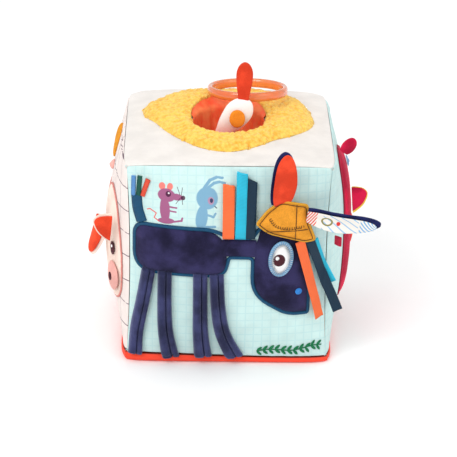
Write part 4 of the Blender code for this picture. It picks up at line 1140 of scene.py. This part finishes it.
def fleeceFinish():
    made = Finish("yellowFleece", roughness=0.95, sheen=0.6, sheenTint=dye(nest["tip"]), specular=0.1)
    nub = made.add("ShaderNodeTexVoronoi", {"feature": "SMOOTH_F1"}, {"Vector": made.place(), "Scale": 0.42})
    curl = made.cloud(1.6, 4, 0.65)
    patchy = made.cloud(16, 2)
    # the hollow colour is painted into the hollows between the nubs and the light fleece colour onto their
    # crowns: painted shade, mixed with random curl and patches
    share = (1.05 - nub * 0.8 + (curl - 0.5) * 0.7 + (patchy - 0.5) * 0.4).ease(0.15, 1.0)
    made.paint(made.mix(dye(nest["hollow"]), dye(nest["fleece"]), share))
    made.emboss(curl * 0.8 - nub * 0.9, 1.0)
    return made


def nestRadius(angle):
    turn = angle / (2 * math.pi) * 16
    i = np.floor(turn).astype(int)
    s = turn - i
    radii = np.array(nest["radii"], float)
    a, b, c, d = (radii[(i + k) % 16] for k in (-1, 0, 1, 2))
    return 0.5 * (2 * b + (c - a) * s + (2 * a - 5 * b + 4 * c - d) * s * s
                  + (3 * b - a - 3 * c + d) * s ** 3)


angle = np.linspace(0, 2 * math.pi, 300, endpoint=False)
reach = nestRadius(angle)
behind = np.clip(np.sin(angle), 0, 1) ** 0.8
shares = np.concatenate([[0.0, 0.0], np.linspace(0, 1, 46) ** 1.15, [1.02, 1.03]])
rows = []
for i, s in enumerate(shares):
    inner = 27.3 + nest["backReach"] * behind
    radius = reach + (inner - reach) * np.minimum(s, 1.0)
    x, y = pocket["x"] + radius * np.cos(angle), -3.0 + radius * np.sin(angle)
    y = np.where(s > 0.9, y - (s - 0.9) * 10, y)
    fromRim = 1 - np.exp(-(reach - radius) / 4.0)
    droop = np.clip((s - 0.66) / 0.34, 0, 1.1) ** 2 * 5.0 * (1 - 0.8 * behind)
    height = 0.3 + nest["thick"] * fromRim - droop + nest["backRise"] * behind * np.clip(s, 0, 1) ** 2.5
    if i == 0:
        height = np.full_like(angle, 0.1)
    rows.append(onWall("top", x, y, height))
rows.append(rows[-1] - (0, 0, 3.0))
points = np.vstack(rows)
bumps = np.array([noise.noise(Vector(p) / nest["nubSize"]) + 0.5 * noise.noise(Vector(p) / 1.5)
                  for p in points])
fade = np.repeat(np.concatenate([[0, 0.4], np.ones(len(rows) - 4), [0.5, 0.2]]), 300)
points[:, 2] += bumps * nest["nub"] * 0.7 * fade
spread = np.array([noise.noise(Vector(p) / nest["nubSize"] + Vector((9, 3, 7))) for p in points])
points[:, 0] += spread * 0.6 * np.tile(np.cos(angle), len(rows)) * fade
points[:, 1] += spread * 0.6 * np.tile(np.sin(angle), len(rows)) * fade
made = makeMesh("fleeceNest", points, gridFaces(len(rows), 300, loop=True), fleeceFinish(), outward=(0, 0, 1))
sew(thicken(made, 1.2), "cube", "yellow_fleece", "fleece_nest")


def satinFinish():
    made = Finish("orangeSatin", roughness=0.42, sheen=0.3, sheenTint=dye("FFB070"), specular=0.5)
    axes = made.axes()
    soft = made.cloud(10, 3)
    made.paint(made.mix(dye("FF4A20", 1.1), dye("FF8048", 1.2), soft.ease(0.25, 0.75)))
    made.emboss(axes[2].wave(0.7) * 0.3 + soft * 3, 0.25)
    made.gloss(0.34 + 0.2 * soft)
    return made


liningRows, liningSides = 40, 168
rowsDown = np.linspace(0, 1, liningRows) ** 1.4
angle = np.linspace(0, 2 * math.pi, liningSides, endpoint=False)
behind = np.clip(np.sin(angle), 0, 1) ** 0.8
lip = 166.4 + 12.5 * behind
rows = []
for s in rowsDown:
    up = lip + (pocket["floorUp"] - lip) * s
    radius = pocket["rim"] + 0.5 + (pocket["floor"] - pocket["rim"]) * s
    risen = np.clip((up - 170) / np.maximum(lip - 170, 1), 0, 1) ** 1.3
    radius = radius + (nest["backReach"] + 0.5) * behind * risen
    folds = 0.7 * np.sin(angle * 13 + 1.5 * np.sin(angle * 3) + s * 2) + 0.4 * np.sin(angle * 31 + s * 5)
    radius = radius - 0.6 + folds * (0.35 + 0.65 * math.sin(math.pi * s)) - 0.6
    x, y = pocket["x"] + radius * np.cos(angle), pocket["y"] + radius * np.sin(angle)
    rows.append(np.stack([x, y, up], -1))
floorRow = rows[-1]
for share in (0.9, 0.6, 0.3):
    flat = floorRow * 1.0
    flat[:, 0] = pocket["x"] + (floorRow[:, 0] - pocket["x"]) * share
    flat[:, 1] = pocket["y"] + (floorRow[:, 1] - pocket["y"]) * share
    flat[:, 2] = pocket["floorUp"] + 0.2 * share
    rows.append(flat)
points = np.vstack(rows + [np.array([[pocket["x"], pocket["y"], pocket["floorUp"]]])])
faces = gridFaces(len(rows), liningSides, loop=True)
lastRow = (len(rows) - 1) * liningSides
faces += [(lastRow + j, lastRow + (j + 1) % liningSides, len(points) - 1) for j in range(liningSides)]
made = makeMesh("pocketLining", points, faces, satinFinish(), outward=(0, 0, 1))
sew(thicken(made, 0.5), "cube", "orange_lining", "pocket_liner")
print("nest and pocket made")


# the toy in the pocket: ring, ribbon loop, stuffed drop and leaf
toy = {"ringAt": (15, 30.5, 182.8), "major": 29.3, "halfWall": 2.2, "halfBand": 3.6, "lean": 7.8}


def clearOrange():
    made = Finish("clearOrangePlastic", roughness=0.12, clear=0.5, ior=1.4, coat=1.0, coatRoughness=0.04,
                  specular=0.7)
    cloudy = made.cloud(18, 2)
    scuff = made.cloud(1.2, 3, 0.7)
    made.paint(made.mix(dye("FF7E2E"), dye("FFA45A"), cloudy))
    made.gloss(0.1 + 0.16 * scuff)
    made.emboss(scuff, 0.03)
    return made


ringTurns, ringSides = 120, 26
turns = np.linspace(0, 2 * math.pi, ringTurns, endpoint=False)
section = np.linspace(0, 2 * math.pi, ringSides, endpoint=False)
wall = np.sign(np.cos(section)) * np.abs(np.cos(section)) ** 0.75 * toy["halfWall"]
band = np.sign(np.sin(section)) * np.abs(np.sin(section)) ** 0.85 * toy["halfBand"]
radius = toy["major"] + wall
ringPoints = np.stack([np.cos(turns)[:, None] * radius, np.sin(turns)[:, None] * radius,
                       np.broadcast_to(band, (ringTurns, ringSides))], -1).reshape(-1, 3)
lean = math.radians(toy["lean"])
tilt = np.array(((1, 0, 0), (0, math.cos(lean), math.sin(lean)), (0, -math.sin(lean), math.cos(lean))))
ringPoints = ringPoints @ tilt.T + np.array(toy["ringAt"])
lastTurn = (ringTurns - 1) * ringSides
faces = gridFaces(ringTurns, ringSides, loop=True)
faces += [(lastTurn + j, lastTurn + (j + 1) % ringSides, (j + 1) % ringSides, j) for j in range(ringSides)]
made = makeMesh("clearRing", ringPoints, faces, clearOrange())
sew(made, "ring", "orange_plastic", "teether_ring")

ringFront = np.array(toy["ringAt"]) + (0, -toy["major"] * math.cos(lean), toy["major"] * math.sin(lean))
loopTurn = np.linspace(-2.75, 2.75, 60)
loopPath = [(-8.6, -0.5)] + [(math.cos(a) * 5.75, math.sin(a) * 5.75) for a in loopTurn] + [(-8.6, 0.5)]
v = np.linspace(-1, 1, 5)
loopPoints = [(11.5 + 2.5 * side, ringFront[1] + p[1], ringFront[2] + p[0]) for p in loopPath for side in v]
loopMarks = {"along": np.repeat(np.arange(62) * 0.55, 5), "across": np.tile(v, 62)}
coralRibbon = grosgrain("coralGrosgrain", "FF5A3C")
made = makeMesh("toyLoop", loopPoints, gridFaces(62, 5), coralRibbon, loopMarks)
sew(thicken(made, 0.5), "drop_toy", "coral_cloth", "charm_loop")


def dropPoints(rowCount, columns, grow=0.0):
    polar = np.linspace(0.0, math.pi, rowCount)[1:-1]
    around = np.linspace(0, 2 * math.pi, columns, endpoint=False)
    turn = math.radians(38)
    rows = []
    for a in polar:
        along = math.cos(a)
        taper = 0.62 + 0.38 * along
        flatter = np.abs(np.sin(around)) ** 0.8 * np.sign(np.sin(around))
        x = np.cos(around) * math.sin(a) * (14.5 * taper + grow)
        y = flatter * math.sin(a) * (7.2 * taper + grow)
        z = np.full_like(x, along * (22 + grow))
        rows.append(np.stack([x * math.cos(turn) + z * math.sin(turn), y,
                              -x * math.sin(turn) + z * math.cos(turn)], -1) + (4, -13, 172))
    return np.array(rows) + (-2.6, 0, 0)


reflectedPinkPlush = Finish("reflectedPinkVelour", roughness=0.95, sheen=0.3, sheenTint=dye("FFFFFF"), specular=0.1)
fibre = reflectedPinkPlush.cloud(0.6, 2)
# below 178 mm the white drop turns pink towards its base: painted reflected light, with random fibre
paintedReflection = (1 - reflectedPinkPlush.axes()[2].ease(158, 178)) * 0.75 + (fibre - 0.5) * 0.15
reflectedPinkPlush.paint(reflectedPinkPlush.mix(dye("FAF3F1"), dye("FFB7A6"), paintedReflection.top(0.0)))
reflectedPinkPlush.emboss(fibre, 0.35)
dropRows, dropSides = 42, 64
drop = dropPoints(dropRows + 2, dropSides)
points = drop.reshape(-1, 3)
points = points + lumps(points, 8.0, 0.4)[:, None] * (points - (4, -13, 172)) / 12
faces = gridFaces(dropRows, dropSides, loop=True)
faces += [tuple(range(dropSides)), tuple(range((dropRows - 1) * dropSides, dropRows * dropSides))]
made = makeMesh("stuffedDrop", points, faces, reflectedPinkPlush)
sew(made, "drop_toy", "white_velour", "charm_body")
orangeFelt = felt("orangeFelt", "F58A2A")
spotSides = 48
turned = np.linspace(0, 2 * math.pi, spotSides, endpoint=False)
spotRows = []
for share, forward in ((1.0, -0.4), (1.0, 0.5), (0.86, 1.0), (0.5, 1.15)):
    spotX = 6.2 + np.cos(turned) * 6.0 * share
    spotY = np.full(spotSides, -20.4 - forward) + 0.1 * np.sin(turned)
    spotRows.append(np.stack([spotX, spotY, 177 + np.sin(turned) * 7.0 * share], -1))
points = np.vstack(spotRows + [np.array([[6.2, -21.6, 177.0]])])
spotEdge = 3 * spotSides
faces = gridFaces(4, spotSides, loop=True)
faces += [(spotEdge + j, spotEdge + (j + 1) % spotSides, 4 * spotSides) for j in range(spotSides)]
faces += [tuple(range(spotSides))]
made = makeMesh("feltSpot", points, faces, orangeFelt)
sew(made, "drop_toy", "orange_felt", "charm_spot")
made = flapPiece("toyLeaf", (10.8, -13, 189.5), (0.03, 0, 1), (0, -1, 0), (30, 12.8), coralPlush,
                 -2.3, 2.3, 0, "club")
sew(made, "drop_leaf", "coral_velour", "charm_leaf")
print("pocket toy made")


# what is inside: the rattle keeps its made shape, and the foam is slimmed at the cube's edges
def plainFinish(name, code, lift, size, rough, depth, **constants):
    made = Finish(name, roughness=rough, **constants)
    grain = made.cloud(size, 3)
    made.paint(made.mix(dye(code, 0.85), dye(code, lift), grain))
    made.gloss(rough - 0.08 + 0.16 * grain)
    made.emboss(grain, depth)
    return made


inner = {
    "foam_core": plainFinish("foam", "F3EBD2", 1.05, 1.4, 0.9, 0.5),
    "rattle_shell_upper": plainFinish("rattlePlastic", "F2F4F6", 1.02, 6, 0.4, 0.05, coat=0.2),
    "rattle_ball": plainFinish("rattleSteel", "C4C8CC", 1.1, 3, 0.25, 0.02, metallic=1.0),
}
inner["rattle_shell_lower"] = inner["rattle_shell_upper"]
foamSlim = {"from": 50.0, "over": 28.0, "inward": 0.05, "down": 3.5}  # the foam yields at the cube's edges
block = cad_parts["foam_core"].data.copy()
spots = np.empty(len(block.vertices) * 3)
block.vertices.foreach_get("co", spots)
spots = spots.reshape(-1, 3) / mm
slim = easedStep((np.abs(spots[:, :2]).max(1) - foamSlim["from"]) / foamSlim["over"])
spots[:, :2] *= 1 - foamSlim["inward"] * slim[:, None]
spots[:, 2] -= foamSlim["down"] * slim * easedStep((spots[:, 2] - 110) / 50)
block.vertices.foreach_set("co", (spots * mm).ravel())
block.materials.clear()
block.materials.append(inner.pop("foam_core").material)
foamBlock = bpy.data.objects.new("foamBlock", block)
bpy.context.scene.collection.objects.link(foamBlock)
sew(foamBlock, "cube", "foam", "foam_core")
for node, finish in inner.items():
    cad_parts[node].data.materials.clear()
    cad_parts[node].data.materials.append(finish.material)
print("inner parts finished")


# floor, lights and camera
studio = {"floor": "FFFFFF", "sky": 0.85, "key": 14, "fill": 4, "distance": 1650.0, "azimuth": -1.13,
          "elevation": 22.9, "roll": 1.06, "target": (1.5, 0.0, 77.7), "lens": 164.87}
floorMesh = bpy.data.meshes.new("floor")
floorMesh.from_pydata([(-9, -9, 0), (9, -9, 0), (9, 9, 0), (-9, 9, 0)], [], [(0, 1, 2, 3)])
paper = Finish("paperFloor", roughness=0.9, specular=0.1)
paper.paint(paper.mix(dye("FAFAFA"), dye("FFFFFF"), paper.cloud(60, 2)))
floorMesh.materials.append(paper.material)
floor = bpy.data.objects.new("floor", floorMesh)
bpy.context.scene.collection.objects.link(floor)

world = bpy.data.worlds.new("studio")
world.use_nodes = True
world.node_tree.nodes["Background"].inputs["Color"].default_value = (1, 1, 1, 1)
world.node_tree.nodes["Background"].inputs["Strength"].default_value = studio["sky"]
bpy.context.scene.world = world


def softLight(name, place, size, power):
    data = bpy.data.lights.new(name, "AREA")
    data.shape = "SQUARE"
    data.size = size
    data.energy = power
    lamp = bpy.data.objects.new(name, data)
    lamp.location = place
    lamp.rotation_euler = (Vector((0, 0, 0.08)) - Vector(place)).to_track_quat("-Z", "Y").to_euler()
    bpy.context.scene.collection.objects.link(lamp)


softLight("keyLight", (-0.9, -1.2, 1.5), 1.0, studio["key"])
softLight("fillLight", (1.3, -1.0, 0.9), 1.2, studio["fill"])
softLight("topLight", (0.1, 0.3, 1.8), 1.2, studio["fill"])

azimuth, elevation, roll = (math.radians(studio[key]) for key in ("azimuth", "elevation", "roll"))
backward = Vector((math.sin(azimuth) * math.cos(elevation), -math.cos(azimuth) * math.cos(elevation),
                   math.sin(elevation)))
rightward = (-backward).cross(Vector((0, 0, 1))).normalized()
upward = rightward.cross(-backward)
rolledRight = rightward * math.cos(roll) + upward * math.sin(roll)
rolledUp = upward * math.cos(roll) - rightward * math.sin(roll)
cameraData = bpy.data.cameras.new("camera")
cameraData.lens = studio["lens"]
cameraData.sensor_width = 36.0
camera = bpy.data.objects.new("camera", cameraData)
place = Vector(studio["target"]) * mm + backward * studio["distance"] * mm
turn = Matrix((rolledRight, rolledUp, backward)).transposed().to_4x4()
camera.matrix_world = Matrix.Translation(place) @ turn
bpy.context.scene.collection.objects.link(camera)
bpy.context.scene.camera = camera
bpy.context.scene.view_settings.view_transform = "Standard"
print("studio set")
